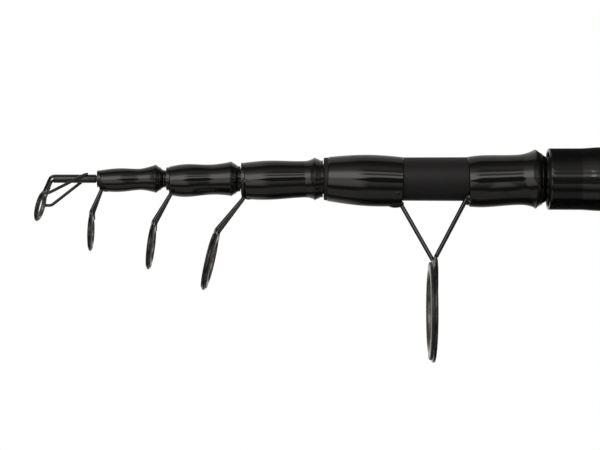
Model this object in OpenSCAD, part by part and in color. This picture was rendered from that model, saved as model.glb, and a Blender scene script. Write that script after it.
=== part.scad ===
// Telescopic fishing rod, closed for carrying: five tapered sections nest inside the butt section.
// The rod lies along X with its tip towards -X, and its line guides hang towards -Z.
// The origin is the centre of the butt end. Lists give sections 2, 3, 4 and 5, from tip to butt.

/* [Blanks] */
// Length of the butt section, from its mouth to the butt end
butt_len = 520; // [480:5:600]
// Outside radius of the solid tip at its end
tip_r = 1; // [0.8:0.05:1.3]
// Growth of radius of the tip and sections 2 to 5, in millimetres per metre
taper = [1.28, 0.81, 1.39, 2.05, 3.73]; // [0.6:0.01:4.5]
// Wall of sections 2 to 5
section_wall = [0.5, 0.45, 0.65, 0.85]; // [0.4:0.05:1.2]
// Length of the tip and sections 2 to 5 that stays inside the next one when drawn out
overlap = [42, 48, 55, 62, 70]; // [30:1:90]
// Radial clearance of a drawn-out section in the mouth that holds it
joint_clearance = 0.08; // [0.05:0.01:0.15]
// Wall of the butt blank
butt_wall = 0.8; // [0.6:0.05:1.2]
// Growth of the butt blank's radius, in millimetres per metre
butt_taper = 3; // [2.5:0.1:4]
// Bevel on the mouth of each blank
mouth_bevel = 0.3; // [0.1:0.05:0.35]

/* [Section heads] */
// Bare length in front of the lacquered sleeve
lip_len = [1, 0.9, 1.3, 2.1]; // [0.6:0.1:3]
// Length over which the sleeve swells
shoulder_len = [6, 5.4, 7.3, 5]; // [3:0.1:10]
// Length from the swell to the waist
belly_len = [6.7, 8, 11.6, 10.2]; // [4:0.1:16]
// Length over which the waist flares to the stop's ridge
flare_len = [4.9, 6.3, 3.3, 6.3]; // [2:0.1:9]
// Length of the stop's cone behind its ridge
cone_len = [2.6, 2.4, 2, 3.2]; // [1.5:0.1:5]
// Length of the stop's neck behind its cone
neck_len = 0.5; // [0.3:0.1:1.5]
// Gap between a stop's neck and the mouth behind it
head_gap = 0.4; // [0.2:0.1:1]
// How late the flare rises to the ridge, from 1 for a straight cone
flare_power = [1.4, 1.8, 2.1, 2.5]; // [1:0.1:3]
// Build-up of the sleeve over the blank's end, at its front edge
shoulder_h = [1.05, 1.3, 1.02, 1.18]; // [0.8:0.01:1.6]
// Build-up at the swell
swell_h = [1.46, 1.93, 1.45, 1.52]; // [1.2:0.01:2.4]
// Build-up at the waist
waist_h = [1.07, 1.5, 1.01, 1.23]; // [0.8:0.01:1.8]
// Build-up at the ridge of the stop
ridge_h = [2.1, 2.15, 1.89, 2.55]; // [1.7:0.01:3]
// Build-up at the small end of the stop
neck_h = [0.43, 0.71, 1.07, 0.45]; // [0.4:0.01:1.2]
// How far the sleeve's front edge sags over the guide feet
sleeve_sag = [0.65, 0.75, 0.65, 0.9]; // [0:0.05:0.95]
// Length of the front sleeve of section 5
front_sleeve_len = 23.2; // [16:0.1:30]
// Place of that sleeve's swell, as a share of its length
front_swell_at = 0.6; // [0.5:0.05:0.7]
// Build-up of that sleeve at its swell
front_swell_h = 1.42; // [1.2:0.01:1.8]
// Build-up of that sleeve at its rear edge
front_edge_h = 1.03; // [0.9:0.01:1.3]
// How far that sleeve's rear edge sags over the guide feet
front_sleeve_sag = 0.87; // [0:0.01:0.95]
// Bare length between the two sleeves of section 5
bare_len = 20.8; // [16:0.1:40]
// Length of the stop that lies under the sleeve
stop_root_len = 2.5; // [1.5:0.1:4]
// Wall of the stop under the sleeve
stop_root_h = 0.5; // [0.3:0.05:0.7]
// Rounding of the sleeves' edges
sleeve_round = 0.25; // [0.1:0.05:0.4]

/* [Guides] */
// Outside diameter of the wire hoop
hoop_d = [12.3, 15.1, 19.4, 32.8]; // [10:0.1:40]
// Distance from the rod's axis to the top of the hoop
guide_rise = [11.05, 14.2, 16.7, 26.1]; // [11:0.05:40]
// How far the ring stands ahead of the section's mouth, and on section 5 of its bare length's middle
ring_ahead = [1.8, 4.7, 9.8, 1.3]; // [0:0.1:12]
// How far the hoop lies behind the middle of its ceramic ring
hoop_back = [0, 0, 0, 0.35]; // [0:0.05:0.4]
// Lean of the ring, with its top towards the butt
ring_lean = [2, 7, 13, 0]; // [0:1:25]
// Diameter of the guide wire
wire_d = [0.9, 0.95, 1, 1.15]; // [0.7:0.05:1.5]
// Radial thickness of the ceramic ring
ceramic_h = [1.1, 1.3, 1.5, 2]; // [0.8:0.1:2.5]
// Width of the ceramic ring along the line
ceramic_w = [1.5, 1.8, 2.2, 2.4]; // [1.4:0.1:3]
// Radial thickness of the shock ring between wire and ceramic
shock_h = [0.4, 0.4, 0.5, 0.6]; // [0.3:0.05:0.8]
// Wall of the tube that carries a single-leg guide
collar_wall = 0.35; // [0.25:0.05:0.6]
// Length of that tube
collar_len = 8; // [6:0.5:12]
// Distance from a mouth to where the legs of its single-leg guide are gathered, sections 2 to 4
leg_root = [1.4, 1.6, 0.9]; // [0.6:0.1:2]
// How far inside the front sleeve of section 5 its guide's front leg bends
front_bend_in = 1.6; // [1:0.1:3]
// How far ahead of the rear sleeve of section 5 its guide's rear legs bend
rear_bend_out = 0.8; // [0:0.1:1.5]
// Length of the wire feet under a sleeve
foot_len = 6; // [4:0.5:10]
// Angle from straight down at which the feet lie on a tube
foot_angle = 50; // [30:1:70]
// Angle from straight down at which the rear feet of section 5's guide lie on the blank
blank_foot_angle = 32; // [20:1:50]
// Angle from the hoop's top at which paired legs join it
leg_spread = 25; // [15:1:35]
// Depth to which a foot is brazed into its tube
braze = 0.1; // [0.05:0.01:0.2]

/* [Tip top] */
// Length of the tube on the tip
tube_len = 13.6; // [8:0.1:20]
// Wall of the tube on the tip
tube_wall = 0.36; // [0.25:0.01:0.6]
// Outside diameter of the tip's hoop
tip_hoop_d = 10.1; // [8:0.1:14]
// Distance from the rod's axis to the top of the tip's hoop
tip_rise = 4.75; // [4:0.05:8]
// How far the tip's ring stands ahead of the tube
tip_ring_ahead = 3.7; // [2:0.1:6]
// Lean of the tip's ring
tip_lean = 16; // [5:1:25]
// Diameter of the tip's wires
tip_wire_d = 0.75; // [0.6:0.05:0.9]
// Radial thickness of the tip's ceramic ring
tip_ceramic_h = 0.8; // [0.6:0.1:1.2]
// Width of the tip's ceramic ring
tip_ceramic_w = 1.4; // [1.1:0.1:2]
// Radial thickness of the tip's shock ring
tip_shock_h = 0.35; // [0.25:0.05:0.6]
// Share of the tube's length that the tip's side legs reach back over
leg_reach = 0.76; // [0.5:0.01:0.85]
// Turn of the tip section about the rod
tip_roll = 18; // [-180:1:180]

/* [Butt front] */
// Length of the ring that stiffens the mouth
mouth_ring_len = 10; // [6:0.5:16]
// Length of the mouth ring that covers the blank's end
mouth_cap = 1.2; // [0.8:0.1:2]
// Build-up of the mouth ring
mouth_ring_h = 0.31; // [0.2:0.01:0.8]
// Length of the lacquered whipping behind the mouth ring
whipping_len = 56; // [30:1:80]
// Build-up of the whipping
whipping_h = 0.66; // [0.4:0.01:1.2]
// Length over which each end of the whipping runs out
whipping_ramp = 7; // [4:0.5:12]

/* [Grips] */
// Length of the foregrip
foregrip_len = 70; // [50:1:120]
// Radius of the foregrip at its front
foregrip_front_r = 12.4; // [12:0.1:14]
// Radius of the foregrip at the reel seat
foregrip_rear_r = 15.2; // [14.5:0.1:18]
// Length of the rear grip
rear_grip_len = 182; // [140:1:220]
// Radius of the rear grip, which a rod rest holds
rear_grip_r = 14; // [13:0.1:16]
// Radius of the rear grip at the reel seat
rear_grip_front_r = 15.6; // [15:0.1:18]
// Length of the rear grip's swell towards the reel seat
rear_grip_swell = 40; // [20:1:60]
// Length of each metal trim ring
check_len = 5; // [3:0.5:8]
// Rounding of the grips' ends
grip_round = 1.6; // [0.5:0.1:2]

/* [Reel seat] */
// Length of the reel seat
seat_len = 122; // [110:1:140]
// Wall of the reel seat
seat_wall = 1.8; // [1.4:0.1:2.4]
// Least wall of the arbor between blank and seat
arbor_wall = 0.6; // [0.4:0.1:1.2]
// Depth of the flat that the reel foot lies on
saddle_depth = 0.8; // [0.4:0.1:1]
// Length of each hood
hood_len = 22; // [18:0.5:28]
// Wall of the hoods round the seat
hood_ring_h = 1.6; // [1.2:0.1:2.2]
// Wall of the hoods over the reel foot
hood_wall = 1.5; // [1:0.1:2.2]
// Height of the hoods' pocket for the reel foot
pocket_h = 6; // [5:0.1:7]
// How far the pocket's centre lies below the axis
hood_drop = 4; // [3.2:0.1:5]
// Depth of the hoods' pocket
pocket_len = 12; // [9:0.5:14]
// Running clearance of the moving hood and the lock nut
seat_clearance = 0.2; // [0.1:0.05:0.3]
// Distance from the seat's front to the lock nut, with the hood open
nut_rest = 4; // [2:0.5:8]
// Length of the lock nut
nut_len = 15; // [12:0.5:20]
// Build-up of the lock nut over the seat
nut_h = 3.2; // [2.6:0.1:4]
// Number of finger flutes round the lock nut
flute_count = 18; // [12:1:24]
// Radius of each flute
flute_r = 1.5; // [1:0.1:1.8]
// Travel of the moving hood
hood_travel = 20; // [10:1:24]
// Width of the key that stops the moving hood turning
key_w = 2.6; // [2:0.1:4]
// Depth of the key's groove
key_depth = 0.8; // [0.5:0.1:1]

/* [Butt end] */
// Length of the butt cap outside the blank
cap_len = 16; // [12:0.5:24]
// Length of the cap's threaded spigot
spigot_len = 14; // [10:0.5:20]
// Wall of the cap's spigot
spigot_wall = 1.6; // [1.2:0.1:2.4]
// Clearance of the spigot's thread
thread_clearance = 0.1; // [0.05:0.01:0.15]
// Radial room for section 5 to be drawn out through the ferrule
ferrule_room = 0.25; // [0.15:0.05:0.35]
// Thickness of the pad that the closed sections rest on
pad_t = 4; // [3:0.5:8]
// Gap between the pad and the closed sections
pad_gap = 0.2; // [0.1:0.05:0.3]
// Gap between the cap and the grip
cap_gap = 0.3; // [0.2:0.05:0.5]
// Radius of the rubber bumper in the cap
bumper_r = 9; // [7:0.5:11]
// Thickness of the bumper
bumper_t = 3; // [2:0.5:4]
// How far the bumper stands out of the cap
bumper_proud = 1; // [0.5:0.1:1.5]
// Number of grip grooves round the cap
cap_groove_count = 24; // [16:1:32]

/* [Hidden] */
$fn = 96;

lacquer = "#131315";
matt = "#242426";
gunmetal = "#2b2c2f";
ceramic = "#3a3836";
plastic = "#17171a";
foam = "#1e1e1f";
steel = "#8d9094";

curve_steps = 10;
spindle_power = 2;
bend_bead = 1.03;
thinner = 0.98;
leg_fit = 0.96;
ring_flat = 0.8;
shock_share = 0.8;
glue = 0.05;
per_metre = 1000;
through = 1;
last = 3;

// Places along the rod
base_x = -(bumper_proud + cap_len + spigot_len + pad_t + pad_gap);
function double_head(i) = i == last ? front_sleeve_len + bare_len : 0;
function sleeve_start(i) = lip_len[i] + double_head(i);
function swell_at(i) = sleeve_start(i) + shoulder_len[i];
function waist_at(i) = swell_at(i) + belly_len[i];
function ridge_at(i) = waist_at(i) + flare_len[i];
function cone_end_at(i) = ridge_at(i) + cone_len[i];
function head_len(i) = cone_end_at(i) + neck_len;
function front_x(i) = i > last ? -butt_len : front_x(i + 1) - head_gap - head_len(i);
tip_x = front_x(0) - head_gap - tube_len;

// Radii, from the tip outwards: each mouth takes the base of the section inside it
function grow(i) = taper[i + 1] / per_metre;
function blank_start_x(i) = i < 0 ? tip_x : front_x(i);
function blank_len(i) = base_x - blank_start_x(i);
function end_r(i) = i < 0 ? tip_r : mouth_bore_r(i) + section_wall[i];
function blank_r(i, d) = end_r(i) + grow(i) * d;
function mouth_bore_r(i) = blank_r(i - 1, blank_len(i - 1) - overlap[i]) + joint_clearance;
function seat_zone_r(i) = mouth_bore_r(i) + grow(i - 1) * overlap[i];
butt_bore_r = mouth_bore_r(last + 1);
butt_mouth_r = butt_bore_r + butt_wall;
butt_x = mouth_cap - butt_len;
butt_base_x = -(bumper_proud + cap_len + cap_gap);
function butt_r(x) = butt_mouth_r + butt_taper / per_metre * (x + butt_len);
function butt_inner_r(x) = butt_r(x) - butt_wall;

// Guides
function hoop_r(i) = (hoop_d[i] - wire_d[i]) / 2;
function ring_drop(i) = guide_rise[i] + hoop_d[i] / 2;
bare_middle = lip_len[last] + front_sleeve_len + bare_len / 2;
function ring_x(i) = front_x(i) + (i == last ? bare_middle : 0) - ring_ahead[i];
function hoop_point(i, side, angle, out = 0) = let (r = hoop_r(i) + out) [
    ring_x(i) + r * cos(angle) * sin(ring_lean[i]) + hoop_back[i] * cos(ring_lean[i]),
    side * r * sin(angle),
    r * cos(angle) * cos(ring_lean[i]) - hoop_back[i] * sin(ring_lean[i]) - ring_drop(i)
];
function collar_r(i) = end_r(i) + collar_wall;
function round_the_rod(x, r, angle, side) = [x, side * r * sin(angle), -r * cos(angle)];

// Handle
rear_grip_x = butt_base_x - rear_grip_len;
seat_end_x = rear_grip_x - check_len;
seat_x = seat_end_x - seat_len;
foregrip_x = seat_x - foregrip_len;
check_x = foregrip_x - check_len;
seat_bore_r = butt_r(seat_end_x) + arbor_wall;
seat_r = seat_bore_r + seat_wall;
pocket_r = seat_r + pocket_h - hood_drop;
hood_r = pocket_r + hood_wall;
hood_ring_r = seat_r + hood_ring_h;
slide_r = seat_r + seat_clearance;
nut_r = seat_r + nut_h;
moving_hood_x = seat_x + nut_rest + nut_len + seat_clearance;
pocket_straight = 0.6;
key_room = 0.2;
groove_len = nut_rest + nut_len + hood_len + hood_travel + through;

// Butt end
section_base_r = blank_r(last, blank_len(last));
ferrule_bore_r = section_base_r + ferrule_room;
spigot_r = ferrule_bore_r - thread_clearance;
cap_front_x = -(bumper_proud + cap_len);
spigot_x = cap_front_x - spigot_len;
cap_r = rear_grip_r - cap_gap;

// A solid of revolution round the rod, from points of radius and place along X
module lathe(points) {
    rotate([0, -90, 0])
        rotate_extrude()
            polygon([for (p = points) [p[0], -p[1]]]);
}

// A round bar between two points
module bar(a, b, r) {
    d = b - a;
    translate(a)
        rotate([0, acos(d[2] / norm(d)), atan2(d[1], d[0])])
            cylinder(h = norm(d), r = r);
}

// A wire through points: every other bar a touch thinner, with a fuller bead at each corner
module wire(points, r) {
    for (j = [0 : len(points) - 2])
        bar(points[j], points[j + 1], j % 2 == 0 ? r : r * thinner);
    for (j = [1 : len(points) - 2])
        translate(points[j])
            sphere(r = r * bend_bead);
}

// A wire hoop, square to X
module hoop(ring_r, wire_r) {
    rotate([0, 90, 0])
        rotate_extrude()
            translate([ring_r, 0])
                circle(r = wire_r);
}

// A ceramic ring with a fully rounded bore, square to X
module bore_ring(outer_r, thick, width) {
    middle_r = outer_r - thick / 2;
    flat_w = width * ring_flat;
    lathe(concat(
        [[outer_r, flat_w / 2], [outer_r, -flat_w / 2], [middle_r, -width / 2]],
        [for (a = [-75 : 15 : 75]) [middle_r - thick / 2 * cos(a), width / 2 * sin(a)]],
        [[middle_r, width / 2]]
    ));
}

// A shock ring whose outside is grooved for the hoop's wire
module grooved_ring(inner_r, ring_r, wire_r, width, wire_x = 0) {
    difference() {
        lathe([
            [inner_r, -width / 2], [ring_r - wire_r / 2, -width / 2],
            [ring_r - wire_r / 2, width / 2], [inner_r, width / 2]
        ]);
        translate([wire_x, 0, 0])
            hoop(ring_r, wire_r);
    }
}

// Easing between two radii: rounded shoulder, smooth wave and sharp flare
function shoulder(a, b, t) = a + (b - a) * sin(90 * t);
function wave(a, b, t) = a + (b - a) * (1 - cos(180 * t)) / 2;
function flare(a, b, t, power) = a + (b - a) * pow(t, power);
function steps() = [for (j = [1 : curve_steps]) j / curve_steps];

// Solid tapered outline of a blank, which its sleeves and tubes are bored to
module blank_outline(i) {
    lathe([
        [0, front_x(i)], [end_r(i), front_x(i)],
        [blank_r(i, blank_len(i)), base_x], [0, base_x]
    ]);
}

// Tapered tube whose mouth zone fits the base of the section inside it
module section_blank(i) {
    x = front_x(i);
    base_r = blank_r(i, blank_len(i));
    color(i == last ? matt : lacquer)
        lathe([
            [mouth_bore_r(i), x],
            [end_r(i) - mouth_bevel, x],
            [blank_r(i, mouth_bevel), x + mouth_bevel],
            [base_r, base_x],
            [base_r - section_wall[i], base_x],
            [seat_zone_r(i), x + overlap[i]]
        ]);
}

module tip_blank() {
    color(lacquer)
        lathe([
            [0, tip_x], [tip_r, tip_x],
            [blank_r(-1, blank_len(-1)), base_x], [0, base_x]
        ]);
}

// Swollen and waisted sleeve of section i, up to the ridge of its stop
function sleeve_profile(i) = let (
    x0 = sleeve_start(i),
    r0 = end_r(i) + shoulder_h[i],
    r1 = end_r(i) + swell_h[i],
    r2 = end_r(i) + waist_h[i],
    r3 = end_r(i) + ridge_h[i]
) concat(
    [[0, x0], [r0 - sleeve_round, x0], [r0, x0 + sleeve_round]],
    [for (t = steps()) [shoulder(r0, r1, t), x0 + sleeve_round + (shoulder_len[i] - sleeve_round) * t]],
    [for (t = steps()) [wave(r1, r2, t), swell_at(i) + belly_len[i] * t]],
    [for (t = steps()) [flare(r2, r3, t, flare_power[i]), waist_at(i) + flare_len[i] * t]],
    [[r3, ridge_at(i) + through], [0, ridge_at(i) + through]]
);

// The sleeve's axis dips towards its front, where it covers the feet of the guide
module sleeve_form(i) {
    ridge_x = ridge_at(i);
    dip = atan(sleeve_sag[i] / (ridge_x - sleeve_start(i)));
    translate([front_x(i) + ridge_x, 0, 0])
        rotate([0, -dip, 0])
            translate([-ridge_x, 0, 0])
                lathe(sleeve_profile(i));
}

module section_sleeve(i) {
    ridge_x = front_x(i) + ridge_at(i);
    root_r = blank_r(i, ridge_at(i)) + stop_root_h;
    clear_r = 2 * (end_r(i) + ridge_h[i]);
    color(lacquer)
        difference() {
            sleeve_form(i);
            blank_outline(i);
            lathe([
                [0, ridge_x - stop_root_len], [root_r, ridge_x - stop_root_len], [root_r, ridge_x],
                [clear_r, ridge_x], [clear_r, ridge_x + 2 * through], [0, ridge_x + 2 * through]
            ]);
            if (i < last) {
                translate([front_x(i), 0, 0])
                    rotate([0, 90, 0])
                        cylinder(h = collar_len, r = collar_r(i));
                single_legs(i);
            } else {
                rear_legs(i);
            }
        }
}

// Front sleeve of section 5: spindle-shaped, dipping towards the guide's front feet
module section_5_front_sleeve() {
    i = last;
    x0 = lip_len[i];
    x1 = x0 + front_sleeve_len;
    r0 = end_r(i) + sleeve_round;
    r1 = end_r(i) + front_swell_h;
    r2 = end_r(i) + front_edge_h;
    xs = x0 + front_sleeve_len * front_swell_at;
    dip = atan(front_sleeve_sag / front_sleeve_len);
    color(lacquer)
        difference() {
            translate([front_x(i) + x0, 0, 0])
                rotate([0, dip, 0])
                    translate([-x0, 0, 0])
                        lathe(concat(
                            [[0, x0], [r0 - sleeve_round / 2, x0], [r0, x0 + sleeve_round]],
                            [for (t = steps()) [
                                shoulder(r0, r1, t), x0 + sleeve_round + (xs - x0 - sleeve_round) * t
                            ]],
                            [for (t = steps()) [
                                flare(r1, r2, t, spindle_power), xs + (x1 - sleeve_round - xs) * t
                            ]],
                            [[r2 - sleeve_round, x1], [0, x1]]
                        ));
            blank_outline(i);
            front_leg(i);
        }
}

// Stop: a ring whose root lies under the sleeve, with a sharp ridge, a cone and a neck
module section_stop(i) {
    x = front_x(i) + ridge_at(i);
    land = 0.25;
    root_r = blank_r(i, ridge_at(i)) + stop_root_h;
    ridge_r = end_r(i) + ridge_h[i];
    neck_r = end_r(i) + neck_h[i];
    cone_x = front_x(i) + cone_end_at(i);
    color(lacquer)
        difference() {
            lathe([
                [0, x - stop_root_len], [root_r, x - stop_root_len], [root_r, x],
                [ridge_r, x], [ridge_r, x + land],
                [neck_r, cone_x], [neck_r, cone_x + neck_len], [0, cone_x + neck_len]
            ]);
            blank_outline(i);
        }
}

// The two wires of a single-leg guide: feet along the tube, gathered below it, spread onto the hoop
module single_legs(i) {
    r = wire_d[i] / 2;
    foot_r = collar_r(i) + r - braze;
    gather_x = front_x(i) + leg_root[i];
    elbow_x = gather_x - r;
    wire_gap = 0.05;
    gather_below = collar_r(i) + wire_d[i];
    for (side = [-1, 1])
        wire([
            round_the_rod(elbow_x + foot_len, foot_r, foot_angle, side),
            round_the_rod(elbow_x, foot_r, foot_angle, side),
            [gather_x, side * (r + wire_gap), -gather_below],
            hoop_point(i, side, leg_spread)
        ], r * leg_fit);
}

module guide_frame(i) {
    x = front_x(i);
    color(gunmetal)
        union() {
            lathe([
                [end_r(i), x], [collar_r(i) - mouth_bevel, x], [collar_r(i), x + mouth_bevel],
                [collar_r(i), x + collar_len], [blank_r(i, collar_len), x + collar_len]
            ]);
            single_legs(i);
            guide_hoop(i);
        }
}

// Front leg of the large guide, whose foot lies under the blank in the front sleeve
module front_leg(i) {
    r = wire_d[i] / 2;
    ride_up = 0.6;
    x = front_x(i) + lip_len[i] + front_sleeve_len - front_bend_in;
    foot_r = blank_r(i, x - front_x(i)) + r + joint_clearance;
    wire([
        [x - foot_len, 0, -foot_r],
        [x, 0, -foot_r],
        hoop_point(i, 1, 0, ride_up * r)
    ], r * leg_fit);
}

// Its two rear legs, whose feet straddle the blank and whose other ends run on behind the hoop
module rear_legs(i) {
    r = wire_d[i] / 2;
    apex_at = 0.3;
    apex_back = 2;
    apex_up = 1.8;
    run_on = 1.4;
    ride_up = 1;
    x = front_x(i) + sleeve_start(i) - rear_bend_out;
    foot_r = blank_r(i, x + foot_len - front_x(i)) + r + joint_clearance;
    apex = hoop_point(i, 1, leg_spread * apex_at) + [apex_back * r, 0, apex_up * r];
    for (side = [-1, 1])
        wire([
            round_the_rod(x + foot_len, foot_r, blank_foot_angle, side),
            round_the_rod(x, foot_r, blank_foot_angle, side),
            [apex[0], side * apex[1], apex[2]],
            hoop_point(i, side, leg_spread * run_on, ride_up * r)
        ], r * leg_fit);
}

module guide_5_frame() {
    color(gunmetal)
        union() {
            front_leg(last);
            rear_legs(last);
            guide_hoop(last);
        }
}

module guide_hoop(i) {
    on_ring(i)
        translate([hoop_back[i], 0, 0])
            hoop(hoop_r(i), wire_d[i] / 2);
}

// Place of the ring of guide i
module on_ring(i) {
    translate([ring_x(i), 0, -ring_drop(i)])
        rotate([0, ring_lean[i], 0])
            children();
}

module guide_shock_ring(i) {
    wire_r = wire_d[i] / 2;
    color(plastic)
        on_ring(i)
            grooved_ring(
                hoop_r(i) - wire_r - shock_h[i], hoop_r(i), wire_r, ceramic_w[i] * shock_share, hoop_back[i]
            );
}

module guide_ring(i) {
    color(ceramic)
        on_ring(i)
            bore_ring(hoop_r(i) - wire_d[i] / 2 - shock_h[i], ceramic_h[i], ceramic_w[i]);
}

// Tip top: tube on the tip, two front wires to the hoop and two long legs back to the tube
tip_hoop_r = (tip_hoop_d - tip_wire_d) / 2;
tip_drop = tip_rise + tip_hoop_d / 2;
tube_r = tip_r + tube_wall;
function tip_hoop_point(side, angle, out = 0) = let (r = tip_hoop_r + out) [
    r * cos(angle) * sin(tip_lean) - tip_ring_ahead,
    side * r * sin(angle),
    r * cos(angle) * cos(tip_lean) - tip_drop
];

module at_tip() {
    translate([tip_x, 0, 0])
        rotate([-tip_roll, 0, 0])
            children();
}

module on_tip_ring() {
    at_tip()
        translate([-tip_ring_ahead, 0, -tip_drop])
            rotate([0, tip_lean, 0])
                children();
}

module tip_top_frame() {
    r = tip_wire_d / 2;
    side_angle = 60;
    nose_angle = 26;
    seat_angle = 125;
    bend_ahead = tip_wire_d;
    ride_up = 0.7 * r;
    ring_run = 3 * tip_wire_d;
    leg_end = tube_len * leg_reach;
    color(gunmetal)
        union() {
            at_tip() {
                lathe([
                    [tip_r, 0], [tube_r - tube_wall / 2, 0], [tube_r, tube_wall],
                    [tube_r, tube_len], [tip_r + grow(-1) * tube_len, tube_len]
                ]);
                for (side = [-1, 1]) {
                    ring_top = tip_hoop_point(side, nose_angle);
                    ring_side = tip_hoop_point(side, side_angle, ride_up);
                    wire([
                        [r, side * tube_r, r / 2],
                        [-bend_ahead, side * tube_r, r / 2],
                        ring_top
                    ], r * leg_fit);
                    wire([
                        ring_side,
                        [ring_side[0] + ring_run, ring_side[1], ring_side[2]],
                        round_the_rod(leg_end, tube_r + r - braze, seat_angle, side),
                        round_the_rod(leg_end + tip_wire_d, tube_r + r - braze, seat_angle, side)
                    ], r * leg_fit);
                }
            }
            on_tip_ring()
                hoop(tip_hoop_r, r);
        }
}

module tip_top_shock_ring() {
    wire_r = tip_wire_d / 2;
    color(plastic)
        on_tip_ring()
            grooved_ring(
                tip_hoop_r - wire_r - tip_shock_h, tip_hoop_r, wire_r, tip_ceramic_w * shock_share
            );
}

module tip_top_ring() {
    color(ceramic)
        on_tip_ring()
            bore_ring(tip_hoop_r - tip_wire_d / 2 - tip_shock_h, tip_ceramic_h, tip_ceramic_w);
}

// Butt blank: tapered tube whose mouth zone fits the base of section 5
module butt_blank() {
    color(lacquer)
        lathe([
            [butt_bore_r + grow(last) * mouth_cap, butt_x],
            [butt_r(butt_x), butt_x],
            [butt_r(butt_base_x), butt_base_x],
            [butt_inner_r(butt_base_x), butt_base_x],
            [seat_zone_r(last + 1), overlap[last + 1] - butt_len]
        ]);
}

// Points along the outside of the butt blank, used as the bore of what is glued over it
function over_butt(x0, x1) = [[butt_r(x1) + glue, x1], [butt_r(x0) + glue, x0]];

// Ring that stiffens the mouth, with a rounded lip in front of the blank's end
module mouth_ring() {
    x0 = -butt_len;
    x1 = x0 + mouth_ring_len;
    lip = butt_wall + mouth_ring_h - joint_clearance;
    r = butt_mouth_r + mouth_ring_h;
    color(lacquer)
        lathe(concat(
            over_butt(butt_x - glue, x1),
            [[butt_bore_r + joint_clearance, butt_x - glue]],
            [for (a = [0 : 15 : 90]) [r - lip * (1 - sin(a)), x0 + lip * (1 - cos(a))]],
            [[butt_r(x1) + mouth_ring_h, x1]]
        ));
}

module butt_whipping() {
    x0 = -butt_len + mouth_ring_len;
    x1 = x0 + whipping_len;
    color(lacquer)
        lathe(concat(
            over_butt(x0, x1),
            [[butt_r(x0) + mouth_ring_h, x0]],
            [for (t = steps()) [
                wave(butt_r(x0) + mouth_ring_h, butt_r(x0 + whipping_ramp) + whipping_h, t),
                x0 + whipping_ramp * t
            ]],
            [for (t = steps()) [
                wave(butt_r(x1 - whipping_ramp) + whipping_h, butt_r(x1) + sleeve_round, t),
                x1 - whipping_ramp + whipping_ramp * t
            ]]
        ));
}

// Metal ring that closes the front of the foregrip
module fore_check() {
    x1 = check_x + check_len;
    front_h = 0.5;
    color(steel)
        lathe(concat(
            over_butt(check_x, x1),
            [[butt_r(check_x) + front_h, check_x]],
            [for (t = steps()) [
                wave(butt_r(check_x) + front_h, foregrip_front_r, t),
                check_x + (check_len - front_h) * t
            ]],
            [[foregrip_front_r, x1]]
        ));
}

// Rounded end of a grip, from the end face to the outside
function front_edge(r, x) = [for (a = [0 : 18 : 90]) [
    r - grip_round * (1 - sin(a)), x + grip_round * (1 - cos(a))
]];
function rear_edge(r, x) = [for (a = [90 : -18 : 0]) [
    r - grip_round * (1 - sin(a)), x - grip_round * (1 - cos(a))
]];

module foregrip() {
    x1 = seat_x;
    span = foregrip_len - 2 * grip_round;
    color(foam)
        lathe(concat(
            over_butt(foregrip_x, x1),
            front_edge(foregrip_front_r, foregrip_x),
            [for (t = steps()) [
                wave(foregrip_front_r, foregrip_rear_r, t), foregrip_x + grip_round + span * t
            ]],
            rear_edge(foregrip_rear_r, x1)
        ));
}

module rear_check() {
    x0 = seat_end_x;
    x1 = rear_grip_x;
    edge = 0.6;
    r = rear_grip_front_r;
    color(steel)
        lathe(concat(
            over_butt(x0, x1),
            [[r - edge, x0], [r, x0 + edge], [r, x1 - edge], [r - edge, x1]]
        ));
}

module rear_grip() {
    x0 = rear_grip_x;
    x1 = butt_base_x;
    swell = rear_grip_swell - grip_round;
    color(foam)
        lathe(concat(
            over_butt(x0, x1),
            front_edge(rear_grip_front_r, x0),
            [for (t = steps()) [
                wave(rear_grip_front_r, rear_grip_r, t), x0 + grip_round + swell * t
            ]],
            rear_edge(rear_grip_r, x1)
        ));
}

// Reel seat: a tube with a flat for the reel foot underneath and a key groove on top
module reel_seat() {
    flat_x = moving_hood_x;
    color(plastic)
        difference() {
            lathe([
                [seat_bore_r, seat_x], [seat_r, seat_x], [seat_r, seat_end_x], [seat_bore_r, seat_end_x]
            ]);
            translate([flat_x, -seat_r, -2 * seat_r + saddle_depth])
                cube([seat_end_x - pocket_len / 2 - flat_x, 2 * seat_r, seat_r]);
            translate([seat_x - through, -key_w / 2 - key_room, seat_r - key_depth])
                cube([groove_len + through, key_w + 2 * key_room, seat_r]);
        }
}

// Arbor: bush that fills the space between the blank's taper and the seat's bore
module seat_arbor() {
    color(foam)
        lathe(concat(
            over_butt(seat_x, seat_end_x),
            [[seat_bore_r, seat_x], [seat_bore_r, seat_end_x]]
        ));
}

// Hood with its mouth at X = 0: a ring round the seat and an off-centre pocket for the reel foot
module hood_form(bore_r) {
    nose = 4;
    straight_len = pocket_len * pocket_straight;
    difference() {
        union() {
            lathe([
                [0, 0], [hood_ring_r, 0], [hood_ring_r, hood_len - hood_ring_h / 2],
                [hood_ring_r - hood_ring_h / 2, hood_len], [0, hood_len]
            ]);
            translate([0, 0, -hood_drop])
                lathe(concat(
                    [[0, 0], [hood_r - hood_wall / 2, 0], [hood_r, hood_wall / 2]],
                    [for (t = steps()) [
                        flare(hood_r, hood_r - nose, t, spindle_power),
                        hood_wall / 2 + (hood_len - hood_wall / 2) * t
                    ]],
                    [[0, hood_len]]
                ));
        }
        translate([-through, 0, 0])
            rotate([0, 90, 0])
                cylinder(h = hood_len + 2 * through, r = bore_r);
        translate([0, 0, -hood_drop])
            lathe([
                [0, -through], [pocket_r, -through], [pocket_r, straight_len],
                [pocket_r - hood_wall / 2, pocket_len], [0, pocket_len]
            ]);
    }
}

module fixed_hood() {
    color(steel)
        translate([seat_end_x - hood_len, 0, 0])
            hood_form(seat_r);
}

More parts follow.
